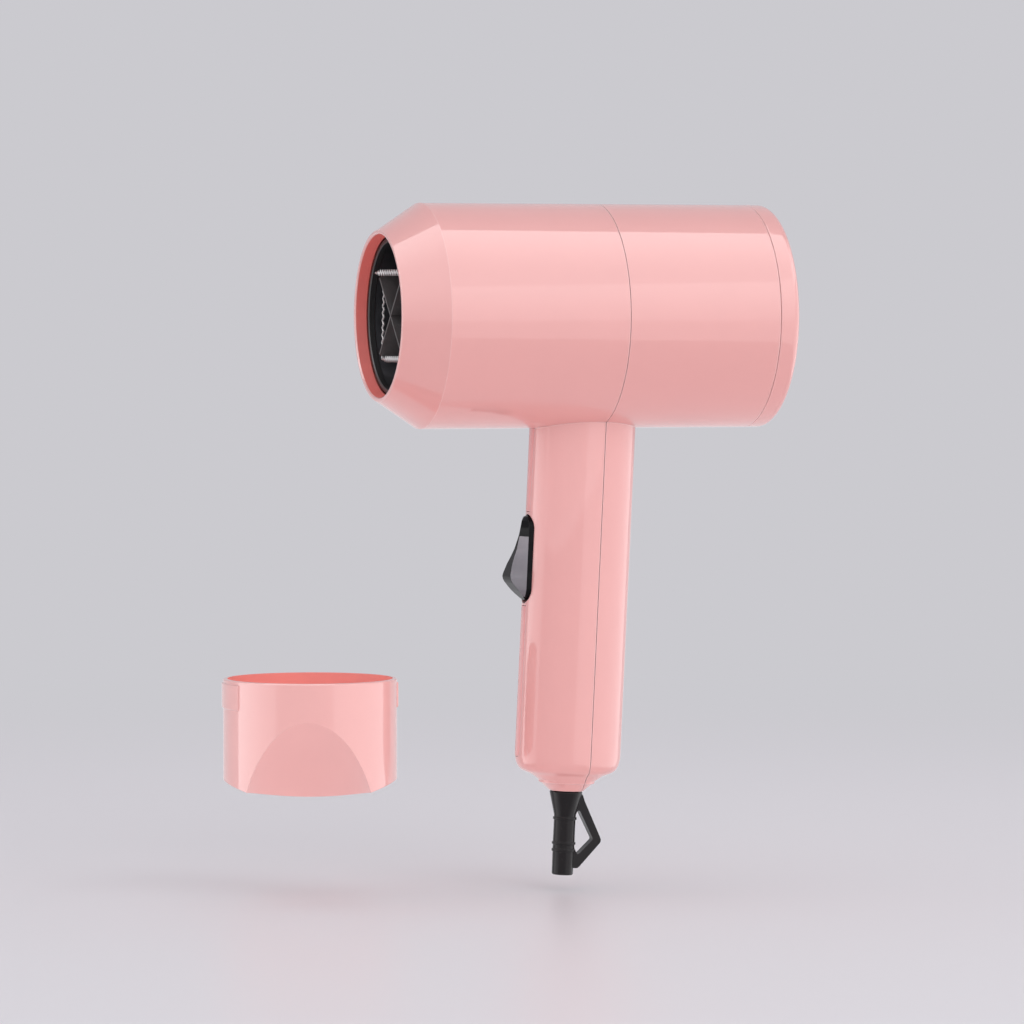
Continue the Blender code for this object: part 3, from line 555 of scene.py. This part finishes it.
def make_housings():
    """Both housings with their trims, screws, bosses and cord clamp posts."""
    rim = [(MOUTH_X + 0.5, MOUTH_R + 0.22), (MOUTH_X + 0.15, MOUTH_R + 0.02), (MOUTH_X, MOUTH_R - 0.3)]
    outline = [(SEAM_X + 1, 0.0), (SEAM_X + 1, BARREL_R), (CONE_END_X, BARREL_R), *rim, (MOUTH_X, 0.0)]
    front = shell("front_shell", outline, True)
    low, high = SWITCH_LOW - SWITCH_HEEL_GAP, SWITCH_HIGH + SWITCH_TOE_GAP
    opening = prism("opening", stadium(SWITCH_HALF + SWITCH_SIDE_GAP, low, high), "X", -30, -12, HANDLE)
    boolean(front, "DIFFERENCE", opening)
    make_trims(front)
    rear_end = CAP_X - GAP / 2
    outline = [(rear_end, 0.0), (rear_end, BARREL_R), (SEAM_X - 1, BARREL_R), (SEAM_X - 1, 0.0)]
    rear = shell("rear_shell", outline, False)
    split = SPLIT_BEHIND_AXIS
    for name, z in SCREW_HEIGHTS.items():
        boolean(front, "UNION", across_handle("boss", -17.7, split - 0.5, z, FRONT_BOSS_R))
        boolean(front, "DIFFERENCE", across_handle("pilot", -8.0, split + 1, z, SCREW_SHANK_R + 0.3))
        boolean(rear, "UNION", across_handle("boss", split + 0.5, 17.9, z, REAR_BOSS_R))
        boolean(rear, "DIFFERENCE", across_handle("way", split - 1, 12.0, z, SCREW_SHANK_R + 0.4))
        boolean(rear, "DIFFERENCE", across_handle("counterbore", 9.5, 22.0, z, SCREW_HEAD_R + 0.4))
        make_screw(name, z)
    for y in (-CLAMP_SCREW_Y, CLAMP_SCREW_Y):
        boolean(front, "UNION", across_handle("post", -15.0, -1.5, CLAMP_Z, CLAMP_POST_R, y))
        boolean(front, "DIFFERENCE", across_handle("pilot", -9.0, 0.0, CLAMP_Z, CLAMP_PILOT_R, y))
    piece(front, "dryer", "pink_shell", "front_housing")
    # Painted shade on the faces inside the barrel
    shade_barrel_inside(front)
    piece(rear, "dryer", "pink_shell", "rear_housing")


def make_screw(name, z):
    """A pan-head screw with a cross recess, deep in its counterbore."""
    where = HANDLE @ Matrix.Translation((0, 0, z * MM))
    outline = [
        (11.6, 0.0), (11.55, 1.2), (11.3, 2.1), (10.8, 2.6), (10.3, SCREW_HEAD_R), (9.85, 2.65),
        (9.8, SCREW_SHANK_R), (-5.4, SCREW_SHANK_R), (-6.0, 0.6), (-6.0, 0.0),
    ]
    head = turned(name.replace("housing", "case"), outline, where, steps=64)
    for turn in (0, math.pi / 2):
        arm = box("arm", (10.5, -0.35, -1.6), (13.0, 0.35, 1.6), where @ Matrix.Rotation(turn + 0.4, 4, "X"))
        boolean(head, "DIFFERENCE", arm)
    piece(head, "dryer", "bright_steel", name)


# ---------------------------------------------------------------- intake

def ring_bar(name, middle_x, radius, half_x, half_r):
    """A ring about the barrel's axis, its section between a box and an oval."""
    outline = []
    for i in range(12):
        c, s = math.cos(TURN * i / 12), math.sin(TURN * i / 12)
        x = half_x * math.copysign(abs(c) ** 0.6, c)
        r = half_r * math.copysign(abs(s) ** 0.6, s)
        outline.append((middle_x + x, radius + r))
    return turned(name, outline, BARREL, 160, closed=True)


def make_intake():
    """The rounded ring with its plug into the barrel, and the grille of ring bars and spokes."""
    face, start, plug = REAR_X - WALL, CAP_X + GAP / 2, BARREL_R - WALL - 0.4
    lip = [(REAR_X - 0.5, GRILLE_R), (REAR_X - 0.1, GRILLE_R + 0.2), (REAR_X, GRILLE_R + 0.6)]
    outer = corner(REAR_X - 2.7, BARREL_R - 2.7, 2.7, 0, 90, 10)
    skirt = [(start + 0.25, BARREL_R), (start, BARREL_R - 0.25), (start, plug), (start - 4.5, plug)]
    inside = [
        (start - 4.5, plug - 1.3), (start - 1.0, plug - 1.3), (start + 1.2, plug + 0.3), (face, plug + 0.3),
        (face, GRILLE_R),
    ]
    cap = turned("intake_grille", [*lip, *outer, *skirt, *inside], BARREL, closed=True)
    hub_outline = [
        (REAR_X - 0.25, 0.0), (REAR_X, 0.6 * GRILLE_HUB_R), (REAR_X, GRILLE_HUB_R - 0.6),
        (REAR_X - 0.2, GRILLE_HUB_R - 0.15), (REAR_X - 0.6, GRILLE_HUB_R), (face, GRILLE_HUB_R), (face, 0.0),
    ]
    bars = [turned("hub", hub_outline, BARREL, 128)]
    middle = (face + REAR_X) / 2
    step = (GRILLE_R - GRILLE_HUB_R + GRILLE_BAR) / (GRILLE_RINGS + 1)
    for i in range(GRILLE_RINGS):
        radius = GRILLE_HUB_R + (i + 1) * step - GRILLE_BAR / 2
        bars.append(ring_bar("bar", middle, radius, 0.8, GRILLE_BAR / 2))
    section = [(-0.6, -1.1), (0.3, -1.1), (0.6, -0.8), (0.6, 0.8), (0.3, 1.1), (-0.6, 1.1)]
    rings = [[(middle + x, y, z) for x, y in section] for z in (GRILLE_HUB_R - 2, GRILLE_R + 1.5)]
    for i in range(GRILLE_SPOKES):
        bars.append(loft("spoke", rings, BARREL @ Matrix.Rotation(TURN * i / GRILLE_SPOKES, 4, "X")))
    joined(cap, *bars)
    piece(cap, "intake_cap", "pink_shell", "rear_cap")
    make_gauze(plug - 0.1)


def make_gauze(radius):
    """Woven wire behind the grille, with a pressed rim."""
    rim = ring_bar("filter_gauze", GAUZE_X, radius - 0.5, 0.35, 0.5)
    woven_r = radius - 0.6
    count = int(woven_r / GAUZE_PITCH)
    wires = []
    for family in range(2):
        for i in range(-count, count + 1):
            offset = i * GAUZE_PITCH
            reach = math.sqrt(max(woven_r ** 2 - offset ** 2, 0.0))
            steps = int(reach / GAUZE_PITCH)
            if steps < 1:
                continue
            points = []
            for k in range(-steps, steps + 1):
                x = GAUZE_X + GAUZE_LIFT * (1 if (i + k + family) % 2 else -1)
                along = k * GAUZE_PITCH
                points.append((x, along, offset) if family == 0 else (x, offset, along))
            wires.append(tube("strand", points, GAUZE_WIRE_R, BARREL, sides=5))
    joined(rim, *wires)
    piece(rim, "intake_cap", "filter_mesh", "intake_filter")


# ---------------------------------------------------------------- switch

def make_switch():
    """A rocker whose narrow front face widens to the full width at its peak, between slanted flanks."""
    inset, steps = 0.05, 48
    span = SWITCH_HIGH - SWITCH_LOW - 2 * inset
    even = {SWITCH_LOW + inset + span * i / steps for i in range(steps + 1)}
    bends = {z for z, _ in SWITCH_PROFILE[1:-1]}
    rings = []
    for z in sorted(even | bends):
        from_end = min(z - SWITCH_LOW, SWITCH_HIGH - z)
        short = max(SWITCH_HALF - from_end, 0.0)
        wide = math.sqrt(max(SWITCH_HALF ** 2 - short ** 2, 0.01))
        proud = at(SWITCH_PROFILE, z)
        crease = min(at(SWITCH_CREASE, z), wide - 0.02)
        back, flank, front = at(SWITCH_BACK, z), -HANDLE_A - min(0.7, proud * 0.6), -HANDLE_A - proud
        rings.append([
            (back, -wide, z), (flank, -wide, z), (front, -crease, z), (front, 0.0, z), (front, crease, z),
            (flank, wide, z), (back, wide, z),
        ])
    cap = loft("rocker_cap", rings, HANDLE)
    bore = rod("bore", (PIVOT_X, -8, PIVOT_Z), (PIVOT_X, 8, PIVOT_Z), PIVOT_R + 0.3, HANDLE, 32)
    boolean(cap, "DIFFERENCE", bore)
    piece(cap, "rocker", "gloss_black", "switch_rocker", sharp=18)
    # Painted reflection: the rocker's flanks take the lighter charcoal, for the light that the black gloss
    # reflects there
    cap.data.materials.append(FINISHES["charcoal_painted_reflection"])
    for face in cap.data.polygons:
        ahead = (HANDLE.inverted() @ (face.center / MM)).x
        if abs(face.normal.y) > 0.45 and ahead < -HANDLE_A - 0.75:
            face.material_index = 1


# ---------------------------------------------------------------- heater and fan

def crimped(corners):
    """A wire through the corners, waved along its straight runs and plain round each corner."""
    points = []
    for here, there in zip(corners, corners[1:]):
        run = there - here
        outward = Vector((0, run.z, -run.y)).normalized()
        steps = int(run.length / CRIMP_PITCH * 4)
        for i in range(steps):
            share = i / steps
            swing = CRIMP * math.sin(TURN * i / 4) * min(1.0, 6 * share, 6 * (1 - share))
            points.append(here + run * share + outward * swing)
    return points + [corners[-1]]


def make_heater():
    """The liner round the hot space, and the ring that frames the mouth."""
    inner_r = LINER_R - LINER_WALL
    outline = [
        (LINER_REAR, LINER_R), (LINER_FRONT + 0.3, LINER_R), (LINER_FRONT, LINER_R - 0.3),
        (LINER_FRONT, inner_r), (LINER_REAR, inner_r),
    ]
    liner = turned("heat_liner", outline, BARREL, closed=True)
    piece(liner, "dryer", "dark_steel", "heater_liner")
    outline = [(-66.5, 27.8), (-68.5, 27.8), (-68.8, 27.5), (-68.8, 26.5), (-68.5, 26.2), (-66.5, 26.2)]
    ring = turned("mouth_ring", outline, BARREL, closed=True)
    piece(ring, "dryer", "black_moulding", "outlet_ring")


def make_boards():
    """Two mica boards, crossed and slotted into each other, with round windows."""
    front, rear, edge, bevel = BOARD_FRONT, BOARD_REAR, BOARD_HALF, 1.0
    middle, half, window_r = (front + rear) / 2, BOARD_THICK / 2, 2.2
    outline = [
        (front + bevel, -edge), (rear - bevel, -edge), (rear, bevel - edge), (rear, edge - bevel),
        (rear - bevel, edge), (front + bevel, edge), (front, edge - bevel), (front, bevel - edge),
    ]
    for name, angle, low, high in (("a", 45, front - 1, middle), ("b", -45, middle - GAP, rear + 1)):
        where = BARREL @ Matrix.Rotation(math.radians(angle), 4, "X")
        board = prism(f"mica_{name}", outline, "Y", -half, half, where)
        boolean(board, "DIFFERENCE", box("slot", (low, -2, -half - GAP), (high, 2, half + GAP), where))
        windows = [
            rod("window", (x, -2, z), (x, 2, z), window_r, where, 32)
            for x in (-55.0, -47.0, -28.0, -20.0) for z in (-13.0, 13.0)
        ]
        boolean(board, "DIFFERENCE", *windows)
        piece(board, "dryer", "mica", f"heater_board_{name}")


def make_wires():
    """Two square windings of crimped wire on the boards, one behind the other."""
    for name, start, turns in (("front", -69.3, WIRE_TURNS + 1), ("rear", -39.0, WIRE_TURNS)):
        corners = []
        for i in range(4 * turns + 1):
            angle = TURN * (i + 0.5) / 4
            across = WIRE_RING_R * math.cos(angle), WIRE_RING_R * math.sin(angle)
            corners.append(Vector((start + WIRE_PITCH * i / 4, *across)))
        wire = tube(f"hot_wire_{name}", crimped(corners), WIRE_R, BARREL, 10)
        piece(wire, "dryer", "heating_wire", f"heater_coil_{name}")


def fan_blade(bearing):
    """A cambered blade that reaches further round, and less far along the axis, towards its tip."""
    middle, thick = (FAN_FRONT + FAN_REAR) / 2, 0.5
    rings = []
    for share in [i / 14 for i in range(15)]:
        radius = FAN_HUB_R - 0.6 + share * (FAN_R - FAN_HUB_R + 0.5)
        axial, around, camber = 5.2 - 1.4 * share, 2.2 + 6.0 * share, 0.5 + share
        near, far = [], []
        for t in [k / 6 - 1 for k in range(13)]:
            x, s = middle + axial * t, around * t + camber * (1 - t * t)
            half = thick * (1 - 0.7 * abs(t) ** 3)
            near.append((x - half, s))
            far.append((x + half, s))
        ring = []
        for x, s in near + far[::-1]:
            angle = bearing + s / radius
            ring.append((x, radius * math.cos(angle), radius * math.sin(angle)))
        rings.append(ring)
    return loft("blade", rings, BARREL)


def make_fan():
    """The hub, domed behind, with its blades."""
    dome = [
        (FAN_REAR, 1.45), (FAN_REAR, 5.0), (FAN_REAR - 0.3, 5.8), (FAN_REAR - 1.2, 7.4),
        (FAN_REAR - 2.6, 8.5), (FAN_REAR - 4.2, FAN_HUB_R),
    ]
    drum = [(FAN_FRONT + 0.3, FAN_HUB_R), (FAN_FRONT, FAN_HUB_R - 0.3), (FAN_FRONT, 1.45)]
    wheel = turned("fan_wheel", dome + drum, BARREL, 96, closed=True)
    joined(wheel, *[fan_blade(TURN * i / FAN_BLADES) for i in range(FAN_BLADES)])
    piece(wheel, "rotor", "black_moulding", "fan_impeller")


# ---------------------------------------------------------------- cord sleeve

def make_sleeve():
    """The strain relief: a flange and neck in the collar, a tail with three beads, and the hang loop."""
    outline = [
        (-54.8, 6.8), (-56.6, 6.8), (-56.6, 4.4), (-64.9, 4.4), (-64.9, 5.7), (-65.2, 5.9), (-73.2, 3.95),
    ]
    for z in (-74.6, -83.5, -86.0):
        outline += [(z + 0.55, 3.92), (z + 0.35, 4.25), (z - 0.35, 4.25), (z - 0.55, 3.88)]
    outline += [(-94.4, 3.8), (-94.8, 3.5), (-94.8, CORD_BORE_R), (-54.8, CORD_BORE_R)]
    sleeve = turned("cord_sleeve", outline, HANDLE, 128, along_x=False, closed=True)
    strap = prism("strap", LOOP_OUTLINE, "Y", -1.9, 1.9, HANDLE)
    boolean(strap, "DIFFERENCE", prism("eye", LOOP_EYE, "Y", -4, 4, HANDLE))
    boolean(sleeve, "UNION", strap)
    boolean(sleeve, "DIFFERENCE", rod("bore", (0, 0, -99), (0, 0, -50), CORD_BORE_R, HANDLE, 128))
    piece(sleeve, "dryer", "black_rubber", "strain_relief")


# ---------------------------------------------------------------- nozzle

def gouge_centre(z):
    """How far from the nozzle's axis the middle of each gouge lies at a height."""
    slope = (NOZZLE_R - SCOOP_THROAT) / (SCOOP_TOP_Z - NOZZLE_LOW)
    return SCOOP_THROAT + slope * (z - NOZZLE_LOW) + SCOOP_R


def scoop(name, side, radius):
    """The slanting round tool that gouges one side of the nozzle."""
    angles = [TURN * i / 128 for i in range(128)]
    rings = []
    for z in (SCOOP_TOP_Z + 8.0, NOZZLE_LOW - 6.0):
        centre = gouge_centre(z)
        rings.append([(radius * math.cos(a), side * (centre + radius * math.sin(a)), z) for a in angles])
    return loft(name, rings, NOZZLE)


def in_gouge(point):
    """Whether a point in mm, from the nozzle's axis, lies on the outer side of one of its two gouges."""
    across = point.x * math.cos(NOZZLE_YAW) + point.y * math.sin(NOZZLE_YAW)
    depth = abs(point.y * math.cos(NOZZLE_YAW) - point.x * math.sin(NOZZLE_YAW))
    return math.hypot(across, depth - gouge_centre(point.z)) < SCOOP_R + 0.6


def collar_pad(side):
    """A low pad on one side of the nozzle's collar."""
    proud_r = NOZZLE_R + PAD_PROUD
    outline = [
        (PAD_TOP, PAD_ROOT_R), (PAD_TOP, proud_r - 0.3), (PAD_TOP - 0.3, proud_r), (PAD_LOW + 0.5, proud_r),
        (PAD_LOW, proud_r - 0.4), (PAD_LOW, PAD_ROOT_R),
    ]
    pad = turned("pad", outline, NOZZLE, 250, along_x=False, closed=True)
    low_x, high_x = sorted((side * 20.0, side * 40.0))
    square = NOZZLE @ Matrix.Rotation(-NOZZLE_YAW, 4, "Z")
    return boolean(pad, "INTERSECT", box("space", (low_x, -PAD_HALF, -40), (high_x, PAD_HALF, -10), square))


def make_nozzle():
    """A round tube with a pad on each side, a gouge on each side and an arched slot lip."""
    low, top, inner_r = NOZZLE_LOW - 5.0, NOZZLE_TOP, NOZZLE_R - NOZZLE_WALL
    outline = [(top, 0), (top, NOZZLE_R - 0.35), (top - 0.35, NOZZLE_R), (low, NOZZLE_R), (low, 0)]
    body = turned("concentrator_shell", outline, NOZZLE, along_x=False)
    outline = [(top + 5, 0), (top + 5, inner_r), (low - 5, inner_r), (low - 5, 0)]
    hollow = turned("hollow", outline, NOZZLE, along_x=False)
    for side in (-1, 1):
        boolean(body, "UNION", collar_pad(side))
    for side in (-1, 1):
        boolean(body, "DIFFERENCE", scoop("scoop", side, SCOOP_R))
        boolean(hollow, "DIFFERENCE", scoop("inner_scoop", side, SCOOP_R + SCOOP_WALL))
    angles = [math.radians(-125 + 70 * i / 96) for i in range(97)]
    middle = NOZZLE_LOW + LIP_ARC_R
    arch = [(LIP_ARC_R * math.cos(a), middle + LIP_ARC_R * math.sin(a)) for a in angles]
    arch += [(50.0, low - 10.0), (-50.0, low - 10.0)]
    boolean(body, "DIFFERENCE", prism("lip", arch, "Y", -61, 59, NOZZLE))
    boolean(body, "DIFFERENCE", hollow)
    piece(body, "concentrator", "pink_nozzle", "nozzle")
    # Painted shade: faces inside the nozzle, away from the gouges, take the deeper, redder pink
    body.data.materials.append(FINISHES["pink_nozzle_painted_shade"])
    for face in body.data.polygons:
        centre = face.center - Vector((NOZZLE_X * MM, 0, 0))
        if math.hypot(centre.x, centre.y) < (inner_r + 0.2) * MM and not in_gouge(centre / MM):
            face.material_index = 1


# ---------------------------------------------------------------- studio

VIEW_YAW = math.radians(-18)
AHEAD = Vector((-math.sin(VIEW_YAW), math.cos(VIEW_YAW), 0))
RIGHT = Vector((math.cos(VIEW_YAW), math.sin(VIEW_YAW), 0))
UP = Vector((0, 0, 1))
FLOOR_Z = -0.1005
BACKGROUND = (0.597, 0.591, 0.624)


def softbox(name, centre, facing, across, size, radiance, fade=None, diffuse=True, glossy=True):
    """A panel of light; fade is the share of its radiance left at each end of its second side."""
    light = bpy.data.lights.new(name, "AREA")
    light.shape = "RECTANGLE"
    light.size, light.size_y = size
    light.energy = radiance * math.pi * size[0] * size[1]
    obj = bpy.data.objects.new(name, light)
    z = -Vector(facing).normalized()
    x = Vector(across).normalized()
    y = z.cross(x)
    obj.matrix_world = Matrix.Translation(centre) @ Matrix((x, y, z)).transposed().to_4x4()
    obj.visible_camera = False
    obj.visible_diffuse, obj.visible_glossy = diffuse, glossy
    bpy.context.scene.collection.objects.link(obj)
    if fade:
        light.use_nodes = True
        tree = light.node_tree
        emission = tree.nodes["Emission"]
        place = tree.nodes.new("ShaderNodeNewGeometry")
        split = tree.nodes.new("ShaderNodeSeparateXYZ")
        spread = tree.nodes.new("ShaderNodeMapRange")
        spread.interpolation_type = "SMOOTHSTEP"
        spread.inputs["To Min"].default_value = fade[0]
        spread.inputs["To Max"].default_value = fade[1]
        tree.links.new(place.outputs["Parametric"], split.inputs[0])
        tree.links.new(split.outputs["Y"], spread.inputs["Value"])
        tree.links.new(spread.outputs["Result"], emission.inputs["Strength"])


def stage_material(name, fading):
    """Pale paper that becomes evenly bright with distance."""
    made_material = bpy.data.materials.new(name)
    made_material.use_nodes = True
    tree = made_material.node_tree
    shader = tree.nodes["Principled BSDF"]
    # Painted reflection: a faint pink in the paper, for the dryer's pink reflected in the floor
    shader.inputs["Base Color"].default_value = (0.70, 0.675, 0.70, 1)
    shader.inputs["Roughness"].default_value = 0.4
    output = tree.nodes["Material Output"]
    glow = tree.nodes.new("ShaderNodeEmission")
    glow.inputs["Color"].default_value = (*BACKGROUND, 1)
    mix = tree.nodes.new("ShaderNodeMixShader")
    place = tree.nodes.new("ShaderNodeTexCoord")
    flat = tree.nodes.new("ShaderNodeVectorMath")
    flat.operation = "LENGTH"
    tree.links.new(place.outputs["Object"], flat.inputs[0])
    spread = tree.nodes.new("ShaderNodeMapRange")
    spread.interpolation_type = "SMOOTHSTEP"
    spread.inputs["From Min"].default_value = fading[0]
    spread.inputs["From Max"].default_value = fading[1]
    tree.links.new(flat.outputs["Value"], spread.inputs["Value"])
    tree.links.new(spread.outputs["Result"], mix.inputs["Fac"])
    tree.links.new(shader.outputs[0], mix.inputs[1])
    tree.links.new(glow.outputs[0], mix.inputs[2])
    tree.links.new(mix.outputs[0], output.inputs["Surface"])
    return made_material


def make_stage():
    """A paper floor and, far out, a round wall with a lid."""
    ground, reach, height = FLOOR_Z / MM, 3200.0, 3000.0
    floor = turned("floor", [(ground, 0.0), (ground, reach)], WORLD, 96, along_x=False)
    floor.data.materials.append(stage_material("paper_floor", (0.35, 1.1)))
    outline = [(ground, reach - 10.0), (height, reach - 10.0), (height, 0.0)]
    wall = turned("backdrop", outline, WORLD, 96, along_x=False)
    wall.data.materials.append(stage_material("paper_wall", (0.0, 0.01)))
    wall.visible_diffuse = wall.visible_shadow = False
    floor.visible_glossy = False


def make_lights():
    """Even surroundings, four panels that show in the glossy skin, and three lights that don't."""
    world = bpy.data.worlds.new("studio")
    world.use_nodes = True
    surroundings = world.node_tree.nodes["Background"]
    surroundings.inputs["Color"].default_value = (0.96, 0.96, 1.0, 1)
    surroundings.inputs["Strength"].default_value = 0.82
    bpy.context.scene.world = world
    height, behind, before, far, wide = 1.3, 0.226, 1.1, 2.2, 5.2
    middle = UP * height - AHEAD * ((before - behind) / 2)
    softbox("overhead", middle, -UP, RIGHT, (wide, before + behind), 2.9, fade=(0.5, 1.0), diffuse=False)
    upper, lower = UP * height - AHEAD * before, UP * -0.1 - AHEAD * far
    slope = upper - lower
    middle = (upper + lower) / 2
    size = (wide, slope.length)
    softbox("front_slope", middle, slope.cross(RIGHT), RIGHT, size, 1.45, fade=(0.57, 1.0), diffuse=False)
    left = UP * 0.25 - RIGHT * 1.2 - AHEAD * 0.45
    softbox("left_wall", left, RIGHT, UP, (1.9, 1.5), 2.3, fade=(0.37, 1.0), diffuse=False)
    right = UP * 0.25 + RIGHT * 1.2 - AHEAD * 0.54
    softbox("right_wall", right, -RIGHT, UP, (1.9, 3.1), 1.5, fade=(1.0, 0.55), diffuse=False)
    softbox("floor_glow", UP * (FLOOR_Z + 0.004), UP, RIGHT, (1.4, 1.4), 0.36, glossy=False)
    key = (-AHEAD * 0.83 + RIGHT * 0.55) * 1.3 + UP * 1.0
    softbox("key", key, -key, RIGHT + AHEAD * 0.5, (1.0, 0.9), 1.75, glossy=False)
    softbox("top_shade", UP * 1.5, -UP, RIGHT, (0.7, 0.7), 0.8, glossy=False)


def make_camera():
    """A long lens level with the barrel, tipped down a little, a little to the left of square on."""
    focal_px, scale, width = 5200.0, 0.3556, 1024.0
    data = bpy.data.cameras.new("camera")
    data.sensor_width = 36.0
    data.lens = focal_px * data.sensor_width / width
    data.clip_start, data.clip_end = 0.05, 20.0
    camera = bpy.data.objects.new("camera", data)
    bpy.context.scene.collection.objects.link(camera)
    tip = math.atan(196.0 / focal_px)
    camera.location = Vector((-0.0234, 0, AXIS_HEIGHT * MM)) - AHEAD * (focal_px * scale * MM)
    look = AHEAD * math.cos(tip) - UP * math.sin(tip)
    camera.rotation_euler = look.to_track_quat("-Z", "Y").to_euler()
    bpy.context.scene.camera = camera
    settings = bpy.context.scene.view_settings
    settings.view_transform = "Standard"
    settings.look = "None"


make_housings()
make_intake()
make_switch()
make_heater()
make_boards()
make_wires()
make_fan()
make_sleeve()
make_nozzle()
finish_frame_nodes()
make_stage()
make_lights()
make_camera()
